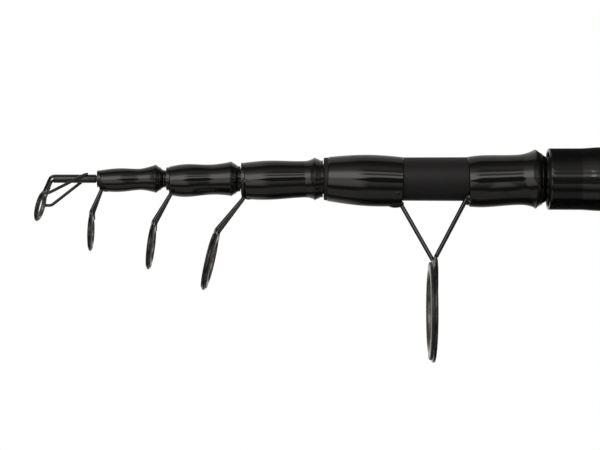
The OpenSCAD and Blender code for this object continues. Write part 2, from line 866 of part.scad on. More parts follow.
module moving_hood() {
    color(steel)
        union() {
            translate([moving_hood_x + hood_len, 0, 0])
                mirror([1, 0, 0])
                    hood_form(slide_r);
            translate([moving_hood_x, -key_w / 2, seat_r - key_depth + key_room])
                cube([hood_len, key_w, key_depth - key_room + hood_ring_h / 2]);
        }
}

// Lock nut with a rim at the hood and finger flutes all round
module lock_nut() {
    x0 = seat_x + nut_rest;
    x1 = x0 + nut_len;
    rim = 2.5;
    edge = 0.8;
    color(plastic)
        difference() {
            lathe([
                [slide_r, x0], [nut_r - edge, x0], [nut_r, x0 + edge],
                [nut_r, x1 - edge], [nut_r - edge, x1], [slide_r, x1]
            ]);
            for (k = [0 : flute_count - 1])
                rotate([k * 360 / flute_count, 0, 0])
                    translate([x0 - through, 0, nut_r + flute_r / 2])
                        rotate([0, 90, 0])
                            cylinder(h = nut_len - rim + through, r = flute_r, $fn = 32);
        }
}

// Threaded ferrule glued into the open end of the butt blank
module butt_ferrule() {
    x0 = spigot_x - pad_t;
    x1 = butt_base_x;
    color(steel)
        lathe([
            [ferrule_bore_r, x0], [butt_inner_at(x0), x0], [butt_inner_at(x1), x1], [ferrule_bore_r, x1]
        ]);
}

// Inner radius of the butt blank behind its mouth zone
function butt_inner_at(x) = let (
    x0 = overlap[last + 1] - butt_len,
    t = (x - x0) / (butt_base_x - x0)
) seat_zone_r(last + 1) * (1 - t) + butt_inner_r(butt_base_x) * t;

module butt_pad() {
    color(foam)
        lathe([
            [0, spigot_x - pad_t], [spigot_r - spigot_wall / 2, spigot_x - pad_t],
            [spigot_r, spigot_x - pad_t + spigot_wall / 2], [spigot_r, spigot_x], [0, spigot_x]
        ]);
}

// Butt cap: hollow spigot that screws into the ferrule, grooved rim and a seat for the bumper
module butt_cap() {
    edge = 1.5;
    groove_r = 0.8;
    end_x = -bumper_proud;
    floor_x = end_x - bumper_t + bumper_proud;
    hollow_r = spigot_r - spigot_wall;
    color(plastic)
        difference() {
            lathe([
                [0, spigot_x], [spigot_r, spigot_x], [spigot_r, cap_front_x], [cap_r, cap_front_x],
                [cap_r, end_x - edge], [cap_r - edge, end_x], [bumper_r, end_x],
                [bumper_r, floor_x], [0, floor_x]
            ]);
            lathe([
                [0, spigot_x + spigot_wall], [hollow_r, spigot_x + spigot_wall],
                [hollow_r, floor_x - bumper_t], [0, floor_x - bumper_t]
            ]);
            for (k = [0 : cap_groove_count - 1])
                rotate([k * 360 / cap_groove_count, 0, 0])
                    translate([cap_front_x - through, 0, cap_r + groove_r / 2])
                        rotate([0, 90, 0])
                            cylinder(h = cap_len - 2 * edge + through, r = groove_r, $fn = 24);
        }
}

module butt_bumper() {
    edge = 0.8;
    floor_x = -bumper_t;
    color(foam)
        lathe([
            [0, floor_x], [bumper_r, floor_x], [bumper_r, -edge], [bumper_r - edge, 0], [0, 0]
        ]);
}

tip_blank();
tip_top_frame();
tip_top_shock_ring();
tip_top_ring();
section_blank(0);  // section_2_blank
section_sleeve(0);  // section_2_sleeve
section_stop(0);  // section_2_stop
guide_frame(0);  // guide_2_frame
guide_shock_ring(0);  // guide_2_shock_ring
guide_ring(0);  // guide_2_ring
section_blank(1);  // section_3_blank
section_sleeve(1);  // section_3_sleeve
section_stop(1);  // section_3_stop
guide_frame(1);  // guide_3_frame
guide_shock_ring(1);  // guide_3_shock_ring
guide_ring(1);  // guide_3_ring
section_blank(2);  // section_4_blank
section_sleeve(2);  // section_4_sleeve
section_stop(2);  // section_4_stop
guide_frame(2);  // guide_4_frame
guide_shock_ring(2);  // guide_4_shock_ring
guide_ring(2);  // guide_4_ring
section_blank(last);  // section_5_blank
section_5_front_sleeve();
section_sleeve(last);  // section_5_rear_sleeve
section_stop(last);  // section_5_stop
guide_5_frame();
guide_shock_ring(last);  // guide_5_shock_ring
guide_ring(last);  // guide_5_ring
butt_blank();
mouth_ring();
butt_whipping();
fore_check();
foregrip();
reel_seat();
seat_arbor();
fixed_hood();
moving_hood();
lock_nut();
rear_check();
rear_grip();
butt_ferrule();
butt_pad();
butt_cap();
butt_bumper();
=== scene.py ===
"""Looks of a closed telescopic fishing rod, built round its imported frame.

Metres, in the frame's own axes: the tip points to -X and the line guides hang towards -Z.
"""
import math
from collections import namedtuple

import bmesh
import bpy
import numpy as np
from mathutils import Matrix, Vector


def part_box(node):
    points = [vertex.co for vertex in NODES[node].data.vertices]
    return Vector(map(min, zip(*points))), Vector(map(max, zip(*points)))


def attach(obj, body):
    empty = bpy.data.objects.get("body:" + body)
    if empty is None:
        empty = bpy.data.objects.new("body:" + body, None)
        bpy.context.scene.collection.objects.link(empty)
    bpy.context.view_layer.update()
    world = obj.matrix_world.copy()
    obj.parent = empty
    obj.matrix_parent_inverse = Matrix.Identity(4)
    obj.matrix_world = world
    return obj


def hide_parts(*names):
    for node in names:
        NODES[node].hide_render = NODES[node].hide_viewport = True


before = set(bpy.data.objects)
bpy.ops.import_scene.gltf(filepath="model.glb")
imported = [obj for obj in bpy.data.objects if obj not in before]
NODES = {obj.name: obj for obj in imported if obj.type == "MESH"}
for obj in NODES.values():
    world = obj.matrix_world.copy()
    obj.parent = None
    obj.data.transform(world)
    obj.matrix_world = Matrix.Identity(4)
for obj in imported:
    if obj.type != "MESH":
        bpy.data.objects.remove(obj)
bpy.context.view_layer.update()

MM = 0.001
HERE = Matrix.Identity(4)


# Node trees, for materials and for geometry alike

class Signal:
    """An output socket. Arithmetic on signals adds Math nodes to their tree."""

    def __init__(self, net, socket):
        self.net = net
        self.socket = socket

    def math(self, operation, *values):
        return self.net.node("ShaderNodeMath", dict(enumerate(values)), operation=operation)

    def __add__(self, other):
        return self.math("ADD", self, other)

    __radd__ = __add__

    def __mul__(self, other):
        return self.math("MULTIPLY", self, other)

    __rmul__ = __mul__

    def __sub__(self, other):
        return self.math("SUBTRACT", self, other)

    def __rsub__(self, other):
        return self.math("SUBTRACT", other, self)

    def clamped(self):
        return self.math("MINIMUM", self.math("MAXIMUM", self, 0.0), 1.0)


class Net:
    """A node tree under construction."""

    def __init__(self, tree):
        self.tree = tree

    def feed(self, socket, value):
        """Links a signal to a socket, or sets the socket's value."""
        if isinstance(value, Signal):
            self.tree.links.new(value.socket, socket)
        else:
            socket.default_value = value

    def node(self, kind, sockets=None, out=0, **settings):
        """Adds a node: its settings first, then the values or links of its sockets."""
        made = self.tree.nodes.new(kind)
        for name, value in settings.items():
            setattr(made, name, value)
        for name, value in (sockets or {}).items():
            self.feed(made.inputs[name], value)
        return Signal(self, made.outputs[out])


class Finish(Net):
    """A material with one Principled shader."""

    def __init__(self, name):
        self.material = bpy.data.materials.new(name)
        self.material.use_nodes = True
        super().__init__(self.material.node_tree)
        self.shader = self.tree.nodes["Principled BSDF"]
        self.place = self.node("ShaderNodeTexCoord", out="Object")

    def stretched(self, scale):
        """Object coordinates scaled along the rod, across it and up."""
        return self.node("ShaderNodeVectorMath", {0: self.place, 1: scale}, operation="MULTIPLY")

    def noise(self, size, detail=2.0, rough=0.5, place=None):
        """Soft noise with features of that size."""
        return self.node("ShaderNodeTexNoise", {
            "Vector": place or self.place, "Scale": 1 / size, "Detail": detail, "Roughness": rough})

    def cells(self, size):
        """Distance to the middle of the nearest cell of that size."""
        return self.node("ShaderNodeTexVoronoi", {"Vector": self.place, "Scale": 1 / size})

    def blend(self, amount, low, high):
        """A colour between two others."""
        return self.node("ShaderNodeMix", {
            "Factor": amount, 6: (*low, 1), 7: (*high, 1)}, out=2, data_type="RGBA")

    def relief(self, height, depth):
        """Bumps of that depth in metres."""
        return self.node("ShaderNodeBump", {"Distance": depth, "Height": height})

    def set(self, **sockets):
        """Sets and links the shader's sockets, named with underscores. Returns the material."""
        for name, value in sockets.items():
            self.feed(self.shader.inputs[name.replace("_", " ")], value)
        return self.material


# Finishes

def lacquer(name, wave_depth, wave_size, gloss):
    """Black brushed-on lacquer, whose surface is never quite true."""
    f = Finish(name)
    wave = f.noise(wave_size, 1.0, place=f.stretched((0.5, 1, 1)))
    peel = f.noise(0.7 * MM)
    dust = f.noise(0.25 * MM, 3.0)
    specks = ((dust - 0.68) * 8).clamped()
    return f.set(
        Base_Color=f.blend(wave, (0.0016, 0.0016, 0.0017), (0.0034, 0.0033, 0.0033)),
        Roughness=0.035 + 0.03 * peel + 0.12 * specks,
        Normal=f.relief(wave + peel * 0.04, wave_depth),
        Specular_IOR_Level=gloss)


def gloss_blank(name):
    """Clear-coated carbon, with the faint turns of the tape that pressed it."""
    f = Finish(name)
    tape = f.node("ShaderNodeTexWave", {
        "Vector": f.stretched((1, 0.12, 0.12)), "Scale": 95.0, "Distortion": 0.4, "Detail": 1.0,
        "Detail Scale": 3.0}, wave_profile="SAW")
    fibre = f.noise(0.35 * MM, 3.0, place=f.stretched((0.08, 1, 1)))
    return f.set(
        Base_Color=f.blend(fibre, (0.0022, 0.0022, 0.0024), (0.006, 0.006, 0.0062)),
        Roughness=0.06 + 0.05 * fibre,
        Normal=f.relief(tape + fibre * 0.2, 0.004 * MM))


def matt_blank(name):
    """Sanded carbon: fine rings left by the belt, and a soft fleck of fibre."""
    f = Finish(name)
    rings = f.noise(0.22 * MM, 3.0, place=f.stretched((1, 0.03, 0.03)))
    fibre = f.noise(0.5 * MM, place=f.stretched((0.1, 1, 1)))
    return f.set(
        Base_Color=f.blend(0.6 * rings + 0.4 * fibre, (0.0038, 0.0034, 0.0036), (0.0085, 0.0077, 0.0081)),
        Roughness=0.42 + 0.16 * rings,
        Normal=f.relief(rings, 0.012 * MM),
        Specular_IOR_Level=0.27)


def guide_wire(name):
    """Stainless wire under a thin black gloss coat, dulled in places."""
    f = Finish(name)
    draw = f.noise(0.3 * MM)
    worn = f.noise(2.2 * MM)
    return f.set(
        Base_Color=f.blend(worn, (0.002, 0.002, 0.0021), (0.005, 0.0049, 0.0048)),
        Roughness=0.06 + 0.06 * worn + 0.03 * draw,
        IOR=1.55)


def shock_ring(name):
    """Satin black plastic."""
    f = Finish(name)
    grain = f.noise(0.18 * MM)
    return f.set(
        Base_Color=f.blend(grain, (0.006, 0.006, 0.006), (0.013, 0.013, 0.0128)),
        Roughness=0.3 + 0.2 * grain,
        Normal=f.relief(grain, 0.008 * MM))


def ring_ceramic(name):
    """Polished dark ceramic with a warm cast and a fine grain."""
    f = Finish(name)
    grain = f.noise(0.3 * MM, 4.0, 0.6)
    cloud = f.noise(3 * MM)
    return f.set(
        Base_Color=f.blend(0.3 * grain + 0.7 * cloud, (0.022, 0.0198, 0.0182), (0.05, 0.0455, 0.042)),
        Roughness=0.12 + 0.05 * grain,
        IOR=1.76)


def grip_foam(name):
    """Closed-cell foam, buffed: small open cells and a slight bloom."""
    f = Finish(name)
    cell = f.cells(0.75 * MM)
    fine = f.cells(0.33 * MM)
    bloom = f.noise(9 * MM, 3.0)
    pores = (1 - cell * 1.3).clamped()
    tone = (bloom * 0.7 + pores * 0.3).clamped()
    return f.set(
        Base_Color=f.blend(tone, (0.01, 0.01, 0.0104), (0.026, 0.026, 0.0264)),
        Roughness=0.78 + 0.18 * bloom,
        Normal=f.relief(cell + fine * 0.4, 0.09 * MM),
        Sheen_Weight=0.06)


def turned_metal(name, low, high, rough):
    """Metal with the fine rings that a lathe leaves."""
    f = Finish(name)
    rings = f.noise(0.09 * MM, place=f.stretched((1, 0.02, 0.02)))
    smudge = f.noise(7 * MM, 3.0)
    return f.set(
        Base_Color=f.blend(0.6 * rings + 0.4 * smudge, low, high),
        Metallic=1.0,
        Roughness=rough + 0.1 * smudge,
        Normal=f.relief(rings, 0.0015 * MM))


def moulded(name, low, high, rough, grain_size, depth):
    """Moulded plastic or rubber with a spark-eroded grain."""
    f = Finish(name)
    grain = f.noise(grain_size)
    handling = f.noise(11 * MM, 3.0)
    return f.set(
        Base_Color=f.blend(0.4 * grain + 0.6 * handling, low, high),
        Roughness=rough + 0.2 * handling,
        Normal=f.relief(grain, depth))


FINISHES = {
    "lacquer": (lacquer, 0.03 * MM, 4.5 * MM, 0.5),
    "wavy_lacquer": (lacquer, 0.07 * MM, 2.6 * MM, 0.9),
    "gloss_blank": (gloss_blank,),
    "matt_blank": (matt_blank,),
    "guide_wire": (guide_wire,),
    "shock_ring": (shock_ring,),
    "ring_ceramic": (ring_ceramic,),
    "grip_foam": (grip_foam,),
    "trim_metal": (turned_metal, (0.09, 0.092, 0.096), (0.17, 0.172, 0.178), 0.16),
    "hood_steel": (turned_metal, (0.32, 0.325, 0.335), (0.46, 0.465, 0.475), 0.32),
    "seat_plastic": (moulded, (0.008, 0.008, 0.0084), (0.016, 0.016, 0.0164), 0.26, 0.3 * MM, 0.01 * MM),
    "arbor_plastic": (moulded, (0.02, 0.02, 0.02), (0.035, 0.035, 0.034), 0.5, 0.5 * MM, 0.02 * MM),
    "pad_rubber": (moulded, (0.007, 0.007, 0.007), (0.015, 0.015, 0.0148), 0.62, 0.4 * MM, 0.03 * MM),
}
FINISH = {name: make(name, *values) for name, (make, *values) in FINISHES.items()}


# Outlines: lists of (x, r), where r may be a function of the angle from straight down

GRID = 1e-7
FINE = math.radians(0.15)
CORNER = math.radians(20)
EASE_STEPS = 4
LONG_STRETCH = 0.6 * MM
HOLD = 0.05 * MM


def section(node):
    """The (x, r) points of a turned CAD node above the rod's axis, in order round its section."""
    mesh = NODES[node].data
    spots = {
        v.index: (round(v.co.x / GRID), round(v.co.z / GRID))
        for v in mesh.vertices
        if abs(v.co.y) < 3 * GRID and v.co.z > 3 * GRID
    }
    beside = {}
    for edge in mesh.edges:
        a, b = (spots.get(i) for i in edge.vertices)
        if a and b and a != b:
            beside.setdefault(a, []).append(b)
            beside.setdefault(b, []).append(a)
    ends = [spot for spot, others in beside.items() if len(set(others)) == 1]
    chain = []
    here = min(ends or beside)
    while here:
        chain.append(here)
        here = next((spot for spot in beside[here] if spot not in chain), None)
    points = [(x * GRID, r * GRID) for x, r in chain]
    if ends:
        points = [(points[0][0], 0), *points, (points[-1][0], 0)]
    return plain(points)


def turn_at(before, here, after):
    """How far the outline turns at a point."""
    a = math.atan2(here[1] - before[1], here[0] - before[0])
    b = math.atan2(after[1] - here[1], after[0] - here[0])
    return abs((b - a + math.pi) % (2 * math.pi) - math.pi)


def plain(points):
    """The outline without the points that lie on a straight stretch."""
    return [
        here for j, here in enumerate(points)
        if turn_at(points[j - 1], here, points[(j + 1) % len(points)]) > FINE]


def eased(points, radius):
    """The outline with its sharp corners off the axis rounded."""
    made = []
    for j, here in enumerate(points):
        before, after = points[j - 1], points[(j + 1) % len(points)]
        turn = turn_at(before, here, after)
        if turn < CORNER or here[1] <= 0:
            made.append(here)
            continue
        back, on = (math.dist(here, other) for other in (before, after))
        cut = min(radius * math.tan(turn / 2), 0.45 * back, 0.45 * on)
        a = [h + (o - h) * cut / back for h, o in zip(here, before)]
        b = [h + (o - h) * cut / on for h, o in zip(here, after)]
        for step in range(EASE_STEPS + 1):
            t = step / EASE_STEPS
            made.append(tuple(
                p * (1 - t) ** 2 + 2 * q * t * (1 - t) + s * t * t for p, q, s in zip(a, here, b)))
    return made


def held(points):
    """The outline with a point near both ends of each long stretch, for straight shading."""
    made = []
    for here, after in zip(points, points[1:] + points[:1]):
        made.append(here)
        length = math.dist(here, after)
        if length > LONG_STRETCH:
            for share in (HOLD / length, 1 - HOLD / length):
                made.append(tuple(h + (a - h) * share for h, a in zip(here, after)))
    return made


def off_centre(r, drop):
    """Reach from the rod's axis to a circle whose centre hangs that far below it."""
    return lambda turn: drop * math.cos(turn) + math.sqrt(r * r - (drop * math.sin(turn)) ** 2)


def curve(rise, start, end, steps):
    """Points from start to end, where rise gives the share of the rise for each share of the way."""
    (x0, r0), (x1, r1) = start, end
    shares = [step / steps for step in range(steps + 1)]
    return [(x0 + (x1 - x0) * t, r0 + (r1 - r0) * rise(t)) for t in shares]


def shoulder(t):
    """A rise that starts steep and ends level."""
    return math.sin(t * math.pi / 2)


def wave(t):
    """A rise that starts and ends level."""
    return (1 - math.cos(t * math.pi)) / 2


# Meshes

SAME_SPOT = 0.001 * MM
SHARP = math.radians(38)
SIDES, FINE_SIDES = 128, 160
HALF_TURN = [math.radians(angle) for angle in range(-90, 91, 10)]


def add_turned(shape, points, sides=SIDES, place=HERE, closed=True, slant=lambda x, turn: x):
    """Adds a turned form about X to a bmesh.

    A slant moves points along X by their angle from straight down.
    """
    rings = []
    for x, r in points:
        if not callable(r) and r <= 0:
            rings.append([shape.verts.new(place @ Vector((x, 0, 0)))])
            continue
        ring = []
        for step in range(sides):
            turn = 2 * math.pi * step / sides
            reach = r(turn) if callable(r) else r
            spot = Vector((slant(x, turn), reach * math.sin(turn), -reach * math.cos(turn)))
            ring.append(shape.verts.new(place @ spot))
        rings.append(ring)
    pairs = list(zip(rings, rings[1:]))
    if closed:
        pairs.append((rings[-1], rings[0]))
    for a, b in pairs:
        for step in range(sides):
            on = (step + 1) % sides
            corners = [a[step % len(a)], a[on % len(a)], b[on % len(b)], b[step % len(b)]]
            around = list(dict.fromkeys(corners))
            if len(around) > 2:
                shape.faces.new(around)


def placed(name, data):
    """A new object in the scene."""
    thing = bpy.data.objects.new(name, data)
    bpy.context.scene.collection.objects.link(thing)
    return thing


def piece(name, shape, finish, body, node):
    """A finished piece on its body, in place of its CAD node."""
    bmesh.ops.remove_doubles(shape, verts=shape.verts, dist=SAME_SPOT)
    bmesh.ops.recalc_face_normals(shape, faces=shape.faces)
    mesh = bpy.data.meshes.new(name)
    shape.to_mesh(mesh)
    shape.free()
    mesh.shade_smooth()
    mesh.set_sharp_from_angle(angle=SHARP)
    mesh.materials.append(FINISH[finish])
    thing = placed(name, mesh)
    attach(thing, body)
    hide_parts(node)
    return thing


def turned(name, node, finish, body, edge=0.1 * MM, sides=SIDES):
    """A turned piece with the outline of its CAD node and eased edges."""
    shape = bmesh.new()
    add_turned(shape, held(eased(section(node), edge)), sides)
    return piece(name, shape, finish, body, node)


# Geometry node trees for bent wire and for wound thread

WIRE_SIDES = 14
BEND_STEPS = 8


def geometry_net(name, inputs):
    """An empty geometry tree: its net and its named inputs as signals."""
    tree = bpy.data.node_groups.new(name, "GeometryNodeTree")
    tree.interface.new_socket("Geometry", in_out="INPUT", socket_type="NodeSocketGeometry")
    for label, kind in inputs.items():
        tree.interface.new_socket(label, in_out="INPUT", socket_type=f"NodeSocket{kind}")
    tree.interface.new_socket("Geometry", in_out="OUTPUT", socket_type="NodeSocketGeometry")
    net = Net(tree)
    source = tree.nodes.new("NodeGroupInput")
    return net, {socket.name: Signal(net, socket) for socket in source.outputs if socket.name}


def end_in_wire(net, given, path):
    """Ends a tree in a round tube along a path."""
    outline = net.node("GeometryNodeCurvePrimitiveCircle", {
        "Resolution": given["Sides"], "Radius": given["Wire radius"]})
    tube = net.node("GeometryNodeCurveToMesh", {
        "Curve": path, "Profile Curve": outline, "Fill Caps": True})
    net.feed(net.tree.nodes.new("NodeGroupOutput").inputs[0], tube)
    return net.tree


def bent_wire_tree():
    """Wire bent along the edges of a mesh, with a rounded bend at each corner."""
    net, given = geometry_net("bent_wire", {"Wire radius": "Float", "Bend radius": "Float", "Sides": "Int"})
    route = net.node("GeometryNodeMeshToCurve", {"Mesh": given["Geometry"]})
    bent = net.node("GeometryNodeFilletCurve", {
        "Curve": route, "Count": BEND_STEPS, "Radius": given["Bend radius"],
        "Limit Radius": True}, mode="POLY")
    return end_in_wire(net, given, bent)


def winding_tree():
    """Right-handed thread or screw turns wound along X, from a first to a last radius."""
    net, given = geometry_net("winding", {
        "Turns": "Float", "Length": "Float", "First radius": "Float", "Last radius": "Float",
        "Start": "Float", "Steps": "Int", "Wire radius": "Float", "Sides": "Int"})
    helix = net.node("GeometryNodeCurveSpiral", {
        "Resolution": given["Steps"], "Rotations": given["Turns"], "Start Radius": given["First radius"],
        "End Radius": given["Last radius"], "Height": given["Length"], "Reverse": True})
    start = net.node("ShaderNodeCombineXYZ", {"X": given["Start"]})
    laid = net.node("GeometryNodeTransform", {
        "Geometry": helix, "Translation": start, "Rotation": (0, math.radians(90), 0)})
    return end_in_wire(net, given, laid)


TREES = {"bent_wire": bent_wire_tree(), "winding": winding_tree()}


def grown(shape, tree, source=None, **values):
    """Adds to a bmesh what a geometry tree makes of a mesh.

    Underscores in the names of its inputs stand for spaces.
    """
    holder = placed("holder", source or bpy.data.meshes.new("none"))
    modifier = holder.modifiers.new("grow", "NODES")
    modifier.node_group = TREES[tree]
    for item in TREES[tree].interface.items_tree:
        key = item.name.replace(" ", "_")
        if item.in_out == "INPUT" and key in values:
            modifier[item.identifier] = values[key]
    graph = bpy.context.evaluated_depsgraph_get()
    mesh = bpy.data.meshes.new_from_object(holder.evaluated_get(graph), depsgraph=graph)
    bpy.data.objects.remove(holder)
    shape.from_mesh(mesh)
    bpy.data.meshes.remove(mesh)


def add_wires(shape, routes, radius, bend):
    """Adds bent wires along lists of points."""
    source = bpy.data.meshes.new("routes")
    points, edges = [], []
    for route in routes:
        edges += [(len(points) + j, len(points) + j + 1) for j in range(len(route) - 1)]
        points += route
    source.from_pydata(points, edges, [])
    grown(shape, "bent_wire", source, Wire_radius=radius, Bend_radius=bend, Sides=WIRE_SIDES)


# Line guides

Ring = namedtuple("Ring", "place outer inner width")
WIRE_D = {2: 0.9 * MM, 3: 0.95 * MM, 4: 1.0 * MM, 5: 1.15 * MM, "tip": 0.75 * MM}
COATED, TIP_COATED = 1.2, 1.3
HOOP_SIDES, HOOP_SLIM = 18, 0.97
SHOCK_EDGE = 0.15 * MM
LINER_EDGE, LINER_FLAT = 0.2 * MM, 0.4
BRAZE = 0.1 * MM
FOOT_LEN = 6 * MM
# Guides on a tube
LEG_ROOT = {2: 1.4 * MM, 3: 1.6 * MM, 4: 0.9 * MM}
LEG_GAP, LEG_BEND = 0.05 * MM, 1.1 * MM
COLLAR_LEN, COLLAR_WALL, COLLAR_BITE, COLLAR_EDGE = 8 * MM, 0.35 * MM, 0.05 * MM, 0.15 * MM
# Degrees from straight down as a leg wraps round its tube, from its foot on
WRAP_ANGLES = (74, 60, 46, 32, 20)
# Landing of a leg on the hoop: degrees from its top, then out, apart and behind in wire radii
LANDING = [(10, 1.2, 0.7, 0.1), (35, 0.1, 0.4, 0.4)]
# The large guide
LARGE_HOOP_BACK, LARGE_LEG_BEND = 0.35 * MM, 1.6 * MM
FRONT_LEG_IN, REAR_LEG_OUT, FOOT_LIFT = 1.15 * MM, 0.2 * MM, 0.2 * MM
REAR_FOOT_ANGLE = 32
# Its rear legs run on into the hoop: degrees from its top, then out and behind in wire radii
RUN_ON = [(9, 1.7, 1.0), (22, 1.3, 1.0), (40, 0.8, 0.7), (60, 0.1, 0.3), (76, -0.5, 0.0)]
# The tip top
TIP_TUBE_R, TIP_TUBE_LEN, TIP_TUBE_EDGE, TIP_TUBE_SIDES = 1.36 * MM, 13.6 * MM, 0.2 * MM, 64
TIP_ROLL = -18
TIP_LEG_BEND = 2.2 * MM
SIDE_LEG_REACH = 0.76
FRONT_WIRE_ANGLE, SIDE_LEG_ANGLE, SIDE_SEAT_ANGLE = 26, 60, 125


def ring_of(node):
    """A guide ring's place, with X along its bore and Z towards the rod, and its sizes."""
    spots = np.unique(np.round([v.co for v in NODES[node].data.vertices], 7), axis=0)
    centre = (spots.min(0) + spots.max(0)) / 2
    spread = np.linalg.eigh(np.cov((spots - centre).T))[1]
    axis = Vector(spread[:, 0])
    axis *= math.copysign(1, axis.x)
    up = Vector((0, -centre[1], -centre[2]))
    up = (up - axis * up.dot(axis)).normalized()
    turn = Matrix((axis, up.cross(axis), up)).transposed()
    local = (spots - centre) @ np.array(turn)
    reach = np.hypot(local[:, 1], local[:, 2])
    return Ring(Matrix.Translation(centre) @ turn.to_4x4(), reach.max(), reach.min(), np.ptp(local[:, 0]))


def round_the_rod(x, r, angle, side):
    """A point that many degrees from straight down, on one side of the rod."""
    turn = math.radians(angle)
    return Vector((x, side * r * math.sin(turn), -r * math.cos(turn)))


def on_hoop(ring, hoop_r, back, side, angle):
    """A point on a guide's hoop, that many degrees from its top."""
    turn = math.radians(angle)
    return ring.place @ Vector((back, side * hoop_r * math.sin(turn), hoop_r * math.cos(turn)))


def add_hoop(shape, ring, hoop_r, back, wire_r):
    """Adds the wire hoop round a guide's shock ring."""
    steps = [2 * math.pi * step / HOOP_SIDES for step in range(HOOP_SIDES)]
    outline = [(back + wire_r * math.sin(a), hoop_r + HOOP_SLIM * wire_r * math.cos(a)) for a in steps]
    add_turned(shape, outline, FINE_SIDES, ring.place)


def line_rings(name, body):
    """The shock ring and the ceramic ring of a guide. Returns the first one's sizes."""
    shock_node, liner_node = f"{name}_shock_ring", f"{name}_ring"
    shock, liner = ring_of(shock_node), ring_of(liner_node)
    half = shock.width / 2
    outline = [(-half, shock.inner), (-half, shock.outer), (half, shock.outer), (half, shock.inner)]
    shape = bmesh.new()
    add_turned(shape, eased(outline, SHOCK_EDGE), FINE_SIDES, shock.place)
    piece(f"{name}_cushion", shape, "shock_ring", body, shock_node)
    depth = liner.outer - liner.inner
    middle = liner.outer - depth / 2
    outline = [(liner.width / 2 * math.sin(a), middle - depth / 2 * math.cos(a)) for a in HALF_TURN]
    flat = liner.width * LINER_FLAT
    outline += [(flat, liner.outer), (-flat, liner.outer)]
    shape = bmesh.new()
    add_turned(shape, eased(outline, LINER_EDGE), FINE_SIDES, liner.place)
    piece(f"{name}_liner", shape, "ring_ceramic", body, liner_node)
    return shock


def hoop_radius(shock, k):
    """The hoop's wire lies half its own radius deep in the shock ring."""
    return shock.outer + WIRE_D[k] / 4


def mouth_of(k):
    """Place and outside radius of a section's mouth."""
    blank = f"section_{k}_blank"
    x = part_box(blank)[0].x
    return x, max(r for place_x, r in section(blank) if place_x < x + MM)


def single_guide(k):
    """A guide on a tube: two feet along it, gathered below and spread onto the hoop."""
    body = f"section_{k}"
    shock = line_rings(f"guide_{k}", body)
    x, end_r = mouth_of(k)
    r = WIRE_D[k] / 2
    hoop_r = hoop_radius(shock, k)
    tube_r = end_r + COLLAR_WALL
    tube_end = x + COLLAR_LEN
    foot_r = tube_r + r - BRAZE
    gather_x = x + LEG_ROOT[k]
    lead_x = gather_x - r / 2
    routes = []
    for side in (-1, 1):
        routes.append([
            round_the_rod(lead_x + FOOT_LEN, foot_r, WRAP_ANGLES[0], side),
            *(round_the_rod(lead_x, foot_r, angle, side) for angle in WRAP_ANGLES),
            Vector((gather_x, side * (r + LEG_GAP), -tube_r - 2 * r))])
        for angle, out, apart, behind in LANDING:
            routes[-1].append(on_hoop(shock, hoop_r + out * r, (apart * side + behind) * r, side, angle))
    shape = bmesh.new()
    tube = [(x, end_r - COLLAR_BITE), (x, tube_r), (tube_end, tube_r), (tube_end, end_r)]
    add_turned(shape, eased(tube, COLLAR_EDGE))
    add_wires(shape, routes, COATED * r, LEG_BEND)
    add_hoop(shape, shock, hoop_r, 0, r)
    piece(f"guide_{k}_wire", shape, "guide_wire", body, f"guide_{k}_frame")


def double_guide():
    """The large guide: one front leg, and two rear legs that run on into the hoop."""
    shock = line_rings("guide_5", "section_5")
    r = WIRE_D[5] / 2
    hoop_r = hoop_radius(shock, 5)
    front_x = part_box("section_5_front_sleeve")[1].x - FRONT_LEG_IN
    rear_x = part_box("section_5_rear_sleeve")[0].x - REAR_LEG_OUT
    foot_r = mouth_of(5)[1] + FOOT_LIFT + r
    routes = [[
        Vector((front_x - FOOT_LEN, 0, -foot_r)),
        Vector((front_x, 0, -foot_r)),
        on_hoop(shock, hoop_r + 0.6 * r, LARGE_HOOP_BACK, 1, 0)]]
    for side in (-1, 1):
        routes.append([round_the_rod(x, foot_r, REAR_FOOT_ANGLE, side) for x in (rear_x + FOOT_LEN, rear_x)])
        for angle, out, behind in RUN_ON:
            routes[-1].append(on_hoop(shock, hoop_r + out * r, LARGE_HOOP_BACK + behind * r, side, angle))
    shape = bmesh.new()
    add_wires(shape, routes, COATED * r, LARGE_LEG_BEND)
    add_hoop(shape, shock, hoop_r, LARGE_HOOP_BACK, r)
    piece("guide_5_wire", shape, "guide_wire", "section_5", "guide_5_frame")


